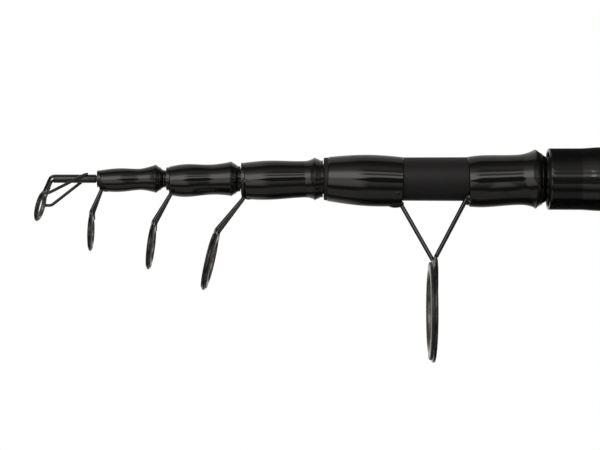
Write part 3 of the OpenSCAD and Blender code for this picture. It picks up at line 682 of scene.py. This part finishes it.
def tip_top():
    """The tube on the tip with its two front wires, two long side legs and hoop."""
    shock = line_rings("tip_top", "tip")
    r = WIRE_D["tip"] / 2
    hoop_r = hoop_radius(shock, "tip")
    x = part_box("tip_blank")[0].x
    tube_end = x + TIP_TUBE_LEN
    roll = Matrix.Rotation(math.radians(TIP_ROLL), 4, "X")
    leg_end = x + SIDE_LEG_REACH * TIP_TUBE_LEN
    routes = []
    for side in (-1, 1):
        routes.append([
            roll @ Vector((x + r, side * TIP_TUBE_R, r / 2)),
            roll @ Vector((x - 2 * r, side * TIP_TUBE_R, r / 2)),
            on_hoop(shock, hoop_r, 0, side, FRONT_WIRE_ANGLE)])
        start = on_hoop(shock, hoop_r + 0.7 * r, 0, side, SIDE_LEG_ANGLE)
        seat_r = TIP_TUBE_R + r - BRAZE
        seat = [round_the_rod(leg_end + run, seat_r, SIDE_SEAT_ANGLE, side) for run in (0, 2 * r)]
        routes.append([start, start + Vector((6 * r, 0, 0)), *(roll @ spot for spot in seat)])
    shape = bmesh.new()
    tube = [(x, 0.6 * TIP_TUBE_R), (x, TIP_TUBE_R), (tube_end, TIP_TUBE_R), (tube_end, 0.7 * TIP_TUBE_R)]
    add_turned(shape, eased(tube, TIP_TUBE_EDGE), TIP_TUBE_SIDES)
    add_wires(shape, routes, TIP_COATED * r, TIP_LEG_BEND)
    add_hoop(shape, shock, hoop_r, 0, r)
    piece("tip_top_wire", shape, "guide_wire", "tip", "tip_top_frame")


# Section heads

# In millimetres: start behind the mouth, lengths of shoulder, belly and flare, power of the flare's curve,
# build over the blank's end before, between and after those three, and the sag of the front
Head = namedtuple("Head", "start shoulder belly flare power build sag")
HEADS = {
    2: Head(1.0, 6.0, 6.7, 4.9, 1.4, (1.05, 1.46, 1.07, 2.10), 0.65),
    3: Head(0.9, 5.4, 8.0, 6.3, 1.8, (1.30, 1.93, 1.50, 2.15), 0.75),
    4: Head(0.9, 7.7, 11.6, 3.3, 2.1, (1.02, 1.45, 1.01, 1.89), 0.65),
    5: Head(46.1, 5.0, 10.2, 6.3, 2.5, (1.18, 1.52, 1.23, 2.55), 0.90),
}
SLEEVE_ROUND = 0.25 * MM
SLEEVE_BITE = 0.1 * MM
EDGE_LEAN, EDGE_FADE = 0.5 * MM, 3.5 * MM
FRONT_START, FRONT_LEN, FRONT_SAG = 1.3 * MM, 24 * MM, 0.87 * MM
FRONT_SWELL = 0.6
FRONT_BUILD = (0.25, 1.42, 1.03)
STOP_EDGE, STOP_BEAD, RIDGE_BEAD = 0.07 * MM, 0.14 * MM, 0.2 * MM
# Lumps of lacquer: half sizes in millimetres, then how far in from an edge and out from the blank
LUMP_SIDES = 32
LEG_LUMP, LEG_LUMP_IN, LUMP_OUT = (1.9, 1.4, 1.0), 1.5 * MM, 0.9 * MM
REAR_LUMP, REAR_LUMP_IN = (1.9, 1.2, 1.2), 0.5 * MM
FRONT_LUMP, FRONT_LUMP_IN, FRONT_LUMP_OUT = (2.8, 2.2, 1.3), 2.4 * MM, 1.2 * MM
SIDE_LUMP, SIDE_LUMP_IN, SIDE_LUMP_OUT, SIDE_LUMP_ANGLE = (1.2, 0.9, 0.9), 1.9 * MM, 0.95 * MM, 47
TIP_SIDES = 48


def dipped(pivot_x, angle):
    """A place turned about Y through a point of the rod's axis."""
    pivot = Matrix.Translation((pivot_x, 0, 0))
    return pivot @ Matrix.Rotation(angle, 4, "Y") @ pivot.inverted()


def add_lump(shape, at, sizes):
    """Adds a rounded lump of lacquer where a wire goes in."""
    ball = [(math.sin(a), max(0, math.cos(a) - 1e-9)) for a in HALF_TURN]
    place = Matrix.Translation(at) @ Matrix.Diagonal((*(size * MM for size in sizes), 1))
    add_turned(shape, ball, LUMP_SIDES, place, closed=False)


def sleeve(k):
    """The swollen, waisted sleeve over a guide's feet, flared to the ridge of its stop."""
    head = HEADS[k]
    x, end_r = mouth_of(k)
    radii = [end_r + build * MM for build in head.build]
    x0 = x + head.start * MM
    x1 = x0 + head.shoulder * MM
    x2 = x1 + head.belly * MM
    x3 = x2 + head.flare * MM
    bore_r = end_r - SLEEVE_BITE
    outline = [(x0, off_centre(bore_r, -head.sag * MM)), (x0, radii[0] - SLEEVE_ROUND)]
    outline += curve(shoulder, (x0, radii[0] - SLEEVE_ROUND), (x0 + SLEEVE_ROUND, radii[0]), 5)[1:]
    outline += curve(shoulder, (x0 + SLEEVE_ROUND, radii[0]), (x1, radii[1]), 24)[1:]
    outline += curve(wave, (x1, radii[1]), (x2, radii[2]), 30)[1:]
    outline += curve(lambda t: t ** head.power, (x2, radii[2]), (x3, radii[3]), 24)[1:]
    outline += [(x3, bore_r)]
    lean = 0 if k == 5 else EDGE_LEAN

    def leaning(place_x, turn):
        """The front edge stands further back below, where the wires come out."""
        fade = max(0, 1 - (place_x - x0) / EDGE_FADE)
        return place_x + lean * fade * (1 + math.cos(turn)) / 2

    shape = bmesh.new()
    dip = dipped(x3, -math.atan2(head.sag * MM, x3 - x0))
    add_turned(shape, outline, FINE_SIDES, dip, slant=leaning)
    if k == 5:
        for side in (-1, 1):
            at = round_the_rod(x0 + REAR_LUMP_IN, end_r + LUMP_OUT, REAR_FOOT_ANGLE, side)
            add_lump(shape, at, REAR_LUMP)
    else:
        add_lump(shape, Vector((x + LEG_ROOT[k] + LEG_LUMP_IN, 0, -end_r - LUMP_OUT)), LEG_LUMP)
    node = "section_5_rear_sleeve" if k == 5 else f"section_{k}_sleeve"
    piece(f"sleeve_{k}", shape, "lacquer", f"section_{k}", node)


def stop(k):
    """The ridged ring behind a sleeve: a cone with a rounded bead at each of its edges."""
    node = f"section_{k}_stop"
    outline = section(node)
    ridge = max(outline, key=lambda point: point[1])
    foot = max(outline, key=lambda point: (round(point[0] / MM, 2), point[1]))
    waist = [(r + f) / 2 for r, f in zip(ridge, foot)]
    shape = bmesh.new()
    add_turned(shape, held(eased(outline, STOP_EDGE)))
    steps = [math.radians(a) for a in range(0, 360, 30)]
    for (x, r), bead in ((ridge, RIDGE_BEAD), (waist, STOP_BEAD), (foot, STOP_BEAD)):
        add_turned(shape, [(x + bead * math.sin(a), r - bead / 2 + bead * math.cos(a)) for a in steps])
    piece(f"stop_{k}", shape, "lacquer", f"section_{k}", node)


def front_sleeve():
    """The spindle-shaped sleeve over the front foot of the large guide."""
    x, end_r = mouth_of(5)
    x0 = x + FRONT_START
    x1 = x0 + FRONT_LEN
    swell_x = x0 + FRONT_SWELL * FRONT_LEN
    front_r, swell_r, rear_r = (end_r + build * MM for build in FRONT_BUILD)
    bore_r = end_r - SLEEVE_BITE
    outline = [(x0, bore_r), (x0, front_r - SLEEVE_ROUND / 2)]
    outline += curve(shoulder, (x0 + SLEEVE_ROUND, front_r), (swell_x, swell_r), 36)
    outline += curve(lambda t: t * t, (swell_x, swell_r), (x1 - SLEEVE_ROUND, rear_r), 24)[1:]
    outline += [(x1, rear_r - SLEEVE_ROUND), (x1, off_centre(bore_r, -FRONT_SAG))]
    shape = bmesh.new()
    add_turned(shape, outline, FINE_SIDES, dipped(x0, math.atan2(FRONT_SAG, FRONT_LEN)))
    add_lump(shape, Vector((x1 - FRONT_LUMP_IN, 0, -end_r - FRONT_LUMP_OUT)), FRONT_LUMP)
    at = round_the_rod(x1 - SIDE_LUMP_IN, end_r + SIDE_LUMP_OUT, SIDE_LUMP_ANGLE, -1)
    add_lump(shape, at, SIDE_LUMP)
    piece("front_sleeve_5", shape, "lacquer", "section_5", "section_5_front_sleeve")


def sections():
    """Blanks, sleeves, stops and guides, from the tip down."""
    turned("tip_stick", "tip_blank", "gloss_blank", "tip", sides=TIP_SIDES)
    tip_top()
    for k in (2, 3, 4, 5):
        finish = "matt_blank" if k == 5 else "gloss_blank"
        turned(f"blank_{k}", f"section_{k}_blank", finish, f"section_{k}")
        stop(k)
        sleeve(k)
        if k < 5:
            single_guide(k)
    front_sleeve()
    double_guide()


# Butt section

TRIM_EDGE, GRIP_EDGE, BUMPER_EDGE = 0.3 * MM, 0.4 * MM, 0.5 * MM
LIP_LEN, LIP_ROUND = 1 * MM, 0.45 * MM
RAMP_LEN = 7.5 * MM
THREAD_PITCH, THREAD_R, THREAD_RISE = 0.45 * MM, 0.2 * MM, 0.05 * MM
THREAD_STEPS, THREAD_SIDES = 48, 6
SCREW_SUNK, SCREW_STEPS, SCREW_SIDES = 0.12 * MM, 64, 8
SEAT_R, SEAT_BORE, SEAT_STEP, SEAT_SIDES = 12.886 * MM, 11.1 * MM, 0.05 * MM, 256
SEAT_PITCH, SEAT_THREAD_LEN, SEAT_RIDGE_R = 2.5 * MM, 44 * MM, 0.25 * MM
SADDLE_DEPTH = 0.8 * MM
KEY_W, KEY_DEPTH, KEY_ROOM = 2.6 * MM, 0.8 * MM, 0.2 * MM
GROOVE_LEN = 62 * MM
HOOD_R, HOOD_LEN, HOOD_WALL, HOOD_DROP = 16.386 * MM, 22 * MM, 1.5 * MM, 4 * MM
HOOD_RING_H, HOOD_NOSE, HOOD_EASE, HOOD_PLAY = 1.6 * MM, 4 * MM, 0.4 * MM, 0.2 * MM
HOOD_STEPS, HOOD_SIDES = 20, 192
POCKET_R, POCKET_LEN = 14.886 * MM, 12 * MM
NUT_BORE, NUT_RIM, NUT_EDGE = 13.086 * MM, 2.5 * MM, 0.8 * MM
NUT_FLUTES, FLUTE_R, NUT_SIDES = 18, 1.5 * MM, 252
CAP_R, CAP_LEN, CAP_EDGE = 13.7 * MM, 16 * MM, 1.5 * MM
CAP_GROOVES, CAP_GROOVE_R, CAP_SIDES = 24, 0.8 * MM, 240
CAP_PITCH, CAP_THREAD_LEN, CAP_RIDGE_R = 1.5 * MM, 12 * MM, 0.19 * MM
SPIGOT_WALL = 1.6 * MM
BUMPER_R, BUMPER_DEPTH = 9 * MM, 3 * MM
INNER_FINISH = {"seat_arbor": "arbor_plastic", "butt_ferrule": "trim_metal", "butt_pad": "pad_rubber"}


def outer_of(*shapes):
    """Reach of the outermost of several shapes."""
    return lambda turn: max(s(turn) if callable(s) else s for s in shapes)


def fluted(r, count, flute_r):
    """Reach of a round body with flutes cut along it."""
    middle = r + flute_r / 2

    def reach(turn):
        pitch = 2 * math.pi / count
        away = (turn + pitch / 2) % pitch - pitch / 2
        inside = flute_r ** 2 - (middle * math.sin(away)) ** 2
        return r if inside <= 0 else min(r, middle * math.cos(away) - math.sqrt(inside))
    return reach


def seat_reach(flat, groove):
    """Reach of the reel seat, with or without its flat underneath and its key groove on top."""
    def reach(turn):
        r = SEAT_R
        down, half = math.cos(turn), KEY_W / 2 + KEY_ROOM
        if flat and down > 0:
            r = min(r, (SEAT_R - SADDLE_DEPTH) / down)
        if groove and down < 0 and abs(SEAT_R * math.sin(turn)) < half:
            r = min(r, (SEAT_R - KEY_DEPTH) / -down)
        return r
    return reach


def add_screw(shape, start, r, pitch, length, ridge_r):
    """Adds the screw turns of a round body, sunk a little into it."""
    sunk_r = r - SCREW_SUNK
    grown(
        shape, "winding", Turns=length / pitch, Length=length, Start=start, First_radius=sunk_r,
        Last_radius=sunk_r, Steps=SCREW_STEPS, Wire_radius=ridge_r, Sides=SCREW_SIDES)


def reel_seat():
    """The seat's tube, with the screw thread that its lock nut runs on."""
    low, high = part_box("reel_seat")
    flat_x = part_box("moving_hood")[0].x
    flat_end = high.x - POCKET_LEN / 2
    groove_end = low.x + GROOVE_LEN
    grooved, both, flat = seat_reach(False, True), seat_reach(True, True), seat_reach(True, False)
    outline = [
        (low.x, SEAT_BORE), (low.x, grooved), (flat_x, grooved),
        (flat_x + SEAT_STEP, both), (groove_end, both),
        (groove_end + SEAT_STEP, flat), (flat_end, flat),
        (flat_end + SEAT_STEP, SEAT_R), (high.x, SEAT_R), (high.x, SEAT_BORE)]
    shape = bmesh.new()
    add_turned(shape, outline, SEAT_SIDES)
    add_screw(shape, low.x + MM, SEAT_R, SEAT_PITCH, SEAT_THREAD_LEN, SEAT_RIDGE_R)
    piece("seat_tube", shape, "seat_plastic", "butt", "reel_seat")


def hood(node, body, bore, mirror):
    """A hood: a ring round the seat with an off-centre pocket for the reel foot."""
    low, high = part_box(node)
    ring_r = SEAT_R + HOOD_RING_H
    lip = HOOD_WALL / 2
    pocket = outer_of(bore, off_centre(POCKET_R, HOOD_DROP))
    outline = [(0, pocket), (0, outer_of(ring_r - HOOD_EASE, off_centre(HOOD_R - lip, HOOD_DROP)))]
    for step in range(HOOD_STEPS + 1):
        t = step / HOOD_STEPS
        x = lip + (HOOD_LEN - lip) * t
        fall = max(0, x - HOOD_LEN + HOOD_RING_H / 2)
        outline.append((x, outer_of(ring_r - fall, off_centre(HOOD_R - HOOD_NOSE * t * t, HOOD_DROP))))
    pocket_end = outer_of(bore, off_centre(POCKET_R - lip, HOOD_DROP))
    outline += [(HOOD_LEN, bore), (POCKET_LEN, bore), (POCKET_LEN, pocket_end), (0.6 * POCKET_LEN, pocket)]
    flip = Matrix.Scale(-1, 4, (1, 0, 0)) if mirror else HERE
    place = Matrix.Translation((high.x if mirror else low.x, 0, 0)) @ flip
    shape = bmesh.new()
    add_turned(shape, outline, HOOD_SIDES, place)
    piece(f"{node}_shell", shape, "hood_steel", body, node)


def lock_nut():
    """The nut that pushes the moving hood, fluted for the fingers."""
    low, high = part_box("lock_nut")
    r = high.z
    rim_x = high.x - NUT_RIM
    flutes = fluted(r, NUT_FLUTES, FLUTE_R)
    outline = [
        (low.x, NUT_BORE), (low.x, fluted(r - NUT_EDGE, NUT_FLUTES, 0.6 * FLUTE_R)),
        (low.x + NUT_EDGE, flutes), (rim_x - MM, flutes),
        (rim_x, fluted(r, NUT_FLUTES, 0.4 * FLUTE_R)), (rim_x + 0.1 * MM, r),
        (high.x - NUT_EDGE, r), (high.x, r - NUT_EDGE), (high.x, NUT_BORE)]
    shape = bmesh.new()
    add_turned(shape, outline, NUT_SIDES)
    piece("lock_nut_body", shape, "seat_plastic", "nut", "lock_nut")


def butt_cap():
    """The screw-on cap: threaded spigot, grooved rim and a seat for its bumper."""
    low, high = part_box("butt_cap")
    spigot_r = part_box("butt_pad")[1].z
    bore = spigot_r - SPIGOT_WALL
    front_x = high.x - CAP_LEN
    bumper_x = high.x - BUMPER_DEPTH
    grooved = fluted(CAP_R, CAP_GROOVES, CAP_GROOVE_R)
    outline = [
        (low.x, bore), (low.x, spigot_r), (front_x, spigot_r),
        (front_x, grooved), (high.x - 2 * CAP_EDGE, grooved),
        (high.x - 1.6 * CAP_EDGE, CAP_R), (high.x - CAP_EDGE, CAP_R),
        (high.x - 0.3 * CAP_EDGE, CAP_R - 0.55 * CAP_EDGE), (high.x, CAP_R - CAP_EDGE),
        (high.x, BUMPER_R), (bumper_x, BUMPER_R), (bumper_x, bore)]
    shape = bmesh.new()
    add_turned(shape, outline, CAP_SIDES)
    add_screw(shape, low.x + MM, spigot_r, CAP_PITCH, CAP_THREAD_LEN, CAP_RIDGE_R)
    piece("cap_body", shape, "seat_plastic", "cap", "butt_cap")


def mouth_band():
    """The ring that stiffens the mouth, with a blunt lip in front of the blank's end."""
    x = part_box("mouth_ring")[0].x
    outline = [(place_x, r) for place_x, r in section("mouth_ring") if place_x > x + LIP_LEN]
    radii = [r for place_x, r in outline if place_x < x + 1.5 * LIP_LEN]
    lip = [(x, min(radii)), (x, max(radii))]
    outline += lip if outline[-1][1] < max(radii) else lip[::-1]
    shape = bmesh.new()
    add_turned(shape, held(eased(outline, LIP_ROUND)), FINE_SIDES)
    piece("mouth_band", shape, "lacquer", "butt", "mouth_ring")


def whipping():
    """Lacquered thread behind the mouth ring: its turns show between the two ramps."""
    outline = section("butt_whipping")
    low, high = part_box("butt_whipping")
    length = high.x - low.x - 2 * RAMP_LEN
    laid_r = max(r for x, r in outline) - THREAD_R
    shape = bmesh.new()
    add_turned(shape, held(outline), FINE_SIDES)
    grown(
        shape, "winding", Turns=length / THREAD_PITCH, Length=length, Start=low.x + RAMP_LEN,
        First_radius=laid_r - THREAD_RISE, Last_radius=laid_r, Steps=THREAD_STEPS,
        Wire_radius=THREAD_R, Sides=THREAD_SIDES)
    piece("whipping_lacquer", shape, "wavy_lacquer", "butt", "butt_whipping")


def butt():
    """The butt section, from its mouth to the bumper."""
    turned("butt_tube", "butt_blank", "gloss_blank", "butt", sides=FINE_SIDES)
    mouth_band()
    whipping()
    for end in ("fore", "rear"):
        turned(f"{end}_ring", f"{end}_check", "trim_metal", "butt", TRIM_EDGE)
    for grip in ("foregrip", "rear_grip"):
        foam = turned(f"{grip}_foam", grip, "grip_foam", "butt", GRIP_EDGE, FINE_SIDES)
    reel_seat()
    hood("fixed_hood", "butt", SEAT_R, False)
    hood("moving_hood", "hood", SEAT_R + HOOD_PLAY, True)
    lock_nut()
    butt_cap()
    turned("bumper", "butt_bumper", "pad_rubber", "cap", BUMPER_EDGE)
    for node, finish in INNER_FINISH.items():
        NODES[node].data.materials.clear()
        NODES[node].data.materials.append(FINISH[finish])


# Studio

CAMERA_AT = Vector((-0.59913, -0.68907, -0.12406))
CAMERA_TILT = 9
CAMERA_ROLL = -0.06
CAMERA_LENS, CAMERA_CLIP = 131.25, 0.01
WHITE = (1, 1, 1, 1)
WORLD_FILL = 0.55
FLOOR_Z, FLOOR_HALF = -0.3, 30
FLOOR_PAINT, FLOOR_GLOW = (0.6, 0.6, 0.6, 1), 0.18
LAMPS = {"key": ((-0.9, -1.3, 1.1), 2.6), "back": ((-0.2, 1.5, 1.0), 1.7)}
LAMP_AIM, LAMP_SPREAD = Vector((-0.45, 0, 0)), 24
TENT_R, TENT_LIFT = 2, 0.01
# Brightness of the tent's cloth by the angle round the rod, upwards positive from level on the camera's side
WIDE_CLOTH = [
    (-180, 0.8), (-155, 0.6), (-140, 0.6), (-125, 0.3), (-112, 0.05), (-100, 0.1), (-94, 0.39), (-62, 0.45),
    (-57, 0.1), (-43, 0.1), (-37, 0.8), (-23, 1.25), (-9, 1.2), (-3, 1.6), (3, 2.7), (22, 2.6), (27, 1.9),
    (33, 1.0), (40, 0.6), (48, 0.45), (58, 0.2), (72, 0.08), (81, 0.1), (88, 0.55), (104, 0.6), (123, 0.7),
    (140, 0.9), (180, 0.8)]
LINED_CLOTH = [
    (-180, 0.7), (-165, 0.5), (-151, 0.2), (-139, 0.1), (-129, 0.03), (-108, 0.02), (-99, 0.1), (-92, 0.32),
    (-60, 0.42), (-54, 0.3), (-49, 0.09), (-38, 0.1), (-33, 0.32), (-24, 0.5), (-17, 0.8), (-14, 1.3),
    (5, 1.8), (12, 2.5), (15, 0.5), (20, 0.45), (23, 1.6), (27, 1.9), (31, 0.4), (36, 0.25), (44, 0.42),
    (51, 0.38), (57, 0.24), (67, 0.11), (79, 0.05), (86, 0.06), (92, 0.35), (100, 0.44), (117, 0.45),
    (142, 0.6), (160, 0.7), (180, 0.7)]
LOW_SIDE = -84
GRIP_CLOTH = sorted(
    [row for row in WIDE_CLOTH if row[0] > LOW_SIDE] + [row for row in LINED_CLOTH if row[0] < LOW_SIDE])
BUTT_CLOTH = [
    (-180, 0.9), (-165, 0.6), (-152, 0.03), (-89, 0.0), (-84, 0.06), (-79, 0.2), (-69, 0.26), (-60, 0.2),
    (-52, 0.04), (-46, 0.06), (-36, 0.28), (-29, 0.45), (-25, 0.08), (-10, 0.1), (-4, 0.25), (2, 1.2),
    (6, 0.6), (10, 0.33), (14, 0.4), (18, 0.65), (22, 0.38), (34, 0.33), (46, 0.21), (64, 0.06), (84, 0.02),
    (150, 0.05), (165, 0.6), (180, 0.9)]
RAMP_LINES = [(-4, 0.1), (-2, 1.5), (2, 2.6), (6, 1.5), (9, 0.1), (13, 0.7), (17, 2.4), (21, 1.0), (25, 0.25)]
RAMP_CLOTH = sorted([row for row in BUTT_CLOTH if not -4 <= row[0] <= 25] + RAMP_LINES)
SIDE_CLOTH = [
    (-180, 0.06), (-100, 0.06), (-94, 0.2), (-62, 0.2), (-57, 0.06), (-43, 0.06), (-37, 0.25), (-23, 0.4),
    (-9, 0.4), (3, 0.7), (22, 0.7), (33, 0.3), (48, 0.15), (60, 0.08), (80, 0.06), (180, 0.06)]
TENT_CLOTHS = [
    (-5.5, SIDE_CLOTH), (-1.95, SIDE_CLOTH), (-1.8, WIDE_CLOTH), (-0.8, WIDE_CLOTH), (-0.62, LINED_CLOTH),
    (-0.15, LINED_CLOTH), (-0.06, GRIP_CLOTH), (0.35, GRIP_CLOTH), (0.5, WIDE_CLOTH), (0.65, WIDE_CLOTH),
    (0.8, SIDE_CLOTH), (2.2, SIDE_CLOTH)]
BUTT_CLOTHS = [(-0.514, RAMP_CLOTH), (-0.5092, RAMP_CLOTH), (-0.5085, BUTT_CLOTH), (-0.36, BUTT_CLOTH)]
BUTT_TENT_R = 0.1
# The long tent's rows stand closest along the rod
TENT_PLACES = [-5.5 + 0.1 * j for j in range(44)] + [-1.1 + 0.02 * j for j in range(65)]
TENT_PLACES += [0.2 + 0.1 * j for j in range(21)]
CAP_LIGHT = 0.04
CLOTH_TINT = (1, 0.967, 0.915, 1)
# The gap that the lens looks through widens towards the butt
GAP_TIP_X, GAP_FULL_X, GAP_END_X = -0.93, -0.55, 0.1
GAP_ANGLE, GAP_HALF, GAP_SOFT, GAP_LIGHT = -6.5, 11, 3, 0.07
TENT_MIDDLE = -0.59


def along(table, value):
    """The two rows of a table round a value, and how far it lies between them."""
    value = min(max(value, table[0][0]), table[-1][0])
    for (a, first), (b, second) in zip(table, table[1:]):
        if value <= b:
            return first, second, (value - a) / (b - a)


def cloth_at(cloth, angle):
    """Brightness of one cloth at an angle."""
    first, second, share = along(cloth, angle)
    return first + (second - first) * wave(share)


def between(cloths, x, angle):
    """Brightness of a row of cloths at a place and angle."""
    first, second, share = along(cloths, x)
    return cloth_at(first, angle) * (1 - share) + cloth_at(second, angle) * share


def tent_light(x, angle):
    """Brightness of the long tent, with the gap that the lens looks through."""
    light = between(TENT_CLOTHS, x, angle)
    half = GAP_HALF * min(1, max(0, (x - GAP_TIP_X) / (GAP_FULL_X - GAP_TIP_X)))
    off = abs(angle - GAP_ANGLE)
    gap = min(1, max(0, (half - off) / GAP_SOFT + 0.5)) if 0 < half and x < GAP_END_X else 0
    return light * (1 - gap) + GAP_LIGHT * gap


def bare_material(name):
    """A material without a shader, its net, and the socket that takes its surface."""
    material = bpy.data.materials.new(name)
    material.use_nodes = True
    nodes = material.node_tree.nodes
    nodes.remove(nodes["Principled BSDF"])
    return material, Net(material.node_tree), nodes["Material Output"].inputs["Surface"]


def tent_cloth(name):
    """Cloth that glows by the brightness kept in its points."""
    material, net, surface = bare_material(name)
    cloth = net.node("ShaderNodeAttribute", out="Fac", attribute_name="cloth")
    net.feed(surface, net.node("ShaderNodeEmission", {"Color": CLOTH_TINT, "Strength": cloth}))
    return material


def tent_point(x, angle, tent_r, ends):
    """A point of a tent's side, which stays above the floor and is shorter where it is nearer."""
    turn = math.radians(angle)
    reach = tent_r
    if math.sin(turn) < 0:
        reach = min(reach, (FLOOR_Z + TENT_LIFT) / math.sin(turn))
    share = (x - TENT_MIDDLE) / (ends[0 if x < TENT_MIDDLE else 1] - TENT_MIDDLE)
    near = reach / tent_r
    near += (1 - near) * share * share
    return TENT_MIDDLE + (x - TENT_MIDDLE) * near, -reach * math.cos(turn), reach * math.sin(turn)


def light_tent(name, places, tent_r, light_at, capped):
    """A tent of bright and dark cloth along the rod, which only its gloss sees."""
    angles = range(-180, 181)
    row = len(angles)
    ends = places[0], places[-1]
    points = [tent_point(x, angle, tent_r, ends) for x in places for angle in angles]
    light = [light_at(x, angle) for x in places for angle in angles]
    if capped:
        front, rear = ([(x, 0, 0)] * row for x in ends)
        points = front + points + rear
        light = [CAP_LIGHT] * row + light + [CAP_LIGHT] * row
    corners = [i + j for i in range(0, len(points) - row, row) for j in range(row - 1)]
    mesh = bpy.data.meshes.new(name)
    mesh.from_pydata(points, [], [(a, a + 1, a + row + 1, a + row) for a in corners])
    mesh.attributes.new("cloth", "FLOAT", "POINT").data.foreach_set("value", light)
    mesh.materials.append(tent_cloth(name))
    tent = placed(name, mesh)
    for ray in ("camera", "diffuse", "transmission", "volume_scatter", "shadow"):
        setattr(tent, f"visible_{ray}", False)


def tents():
    """The long tent over the whole rod, and a small one round the front of the butt."""
    light_tent("light_tent", TENT_PLACES, TENT_R, tent_light, True)
    butt_places = [place for place, cloth in BUTT_CLOTHS]
    light_tent("butt_tent", butt_places, BUTT_TENT_R, lambda x, angle: between(BUTT_CLOTHS, x, angle), False)


def seen_straight(net):
    """One for camera, glossy and transmission rays, which see the white ground as it is."""
    rays = net.tree.nodes.new("ShaderNodeLightPath")
    names = ("Is Camera Ray", "Is Glossy Ray", "Is Transmission Ray")
    camera, glossy, through = (Signal(net, rays.outputs[name]) for name in names)
    return (camera + glossy + through).clamped()


def white_world():
    """A white ground, which lights the rod less than it shows."""
    world = bpy.data.worlds.new("white_ground")
    bpy.context.scene.world = world
    world.use_nodes = True
    net = Net(world.node_tree)
    back = world.node_tree.nodes["Background"]
    net.feed(back.inputs["Color"], WHITE)
    net.feed(back.inputs["Strength"], WORLD_FILL + (1 - WORLD_FILL) * seen_straight(net))


def floor():
    """A pale floor that keeps the rod's shadow, and isn't there from below."""
    mesh = bpy.data.meshes.new("floor")
    corners = [(-1, -1), (1, -1), (1, 1), (-1, 1)]
    mesh.from_pydata([(x * FLOOR_HALF, y * FLOOR_HALF, FLOOR_Z) for x, y in corners], [], [(0, 1, 2, 3)])
    material, net, surface = bare_material("pale_floor")
    paint = net.node("ShaderNodeBsdfDiffuse", {"Color": FLOOR_PAINT})
    strength = FLOOR_GLOW * seen_straight(net)
    glow = net.node("ShaderNodeEmission", {"Color": WHITE, "Strength": strength})
    lit = net.node("ShaderNodeAddShader", {0: paint, 1: glow})
    below = net.node("ShaderNodeNewGeometry", out="Backfacing")
    clear = net.node("ShaderNodeBsdfTransparent")
    net.feed(surface, net.node("ShaderNodeMixShader", {"Fac": below, 1: lit, 2: clear}))
    mesh.materials.append(material)
    placed("floor", mesh)


def lamp(name, at, strength):
    """A soft far lamp aimed at the front of the rod, whose gloss shows the tent instead."""
    light = bpy.data.lights.new(name, "SUN")
    light.angle = math.radians(LAMP_SPREAD)
    light.energy = strength
    thing = placed(name, light)
    thing.location = at
    thing.rotation_euler = (LAMP_AIM - Vector(at)).to_track_quat("-Z", "Y").to_euler()
    thing.visible_glossy = False


def camera():
    """The camera at the photograph's viewing angle."""
    lens = bpy.data.cameras.new("camera")
    lens.lens = CAMERA_LENS
    lens.clip_start = CAMERA_CLIP
    thing = placed("camera", lens)
    thing.location = CAMERA_AT
    thing.rotation_euler = (math.radians(90 + CAMERA_TILT), math.radians(CAMERA_ROLL), 0)
    bpy.context.scene.camera = thing


def studio():
    """The camera, the white ground, the floor, the tents and the lamps."""
    bpy.context.scene.view_settings.view_transform = "Standard"
    camera()
    white_world()
    floor()
    tents()
    for name, (at, strength) in LAMPS.items():
        lamp(name, at, strength)


studio()
sections()
butt()
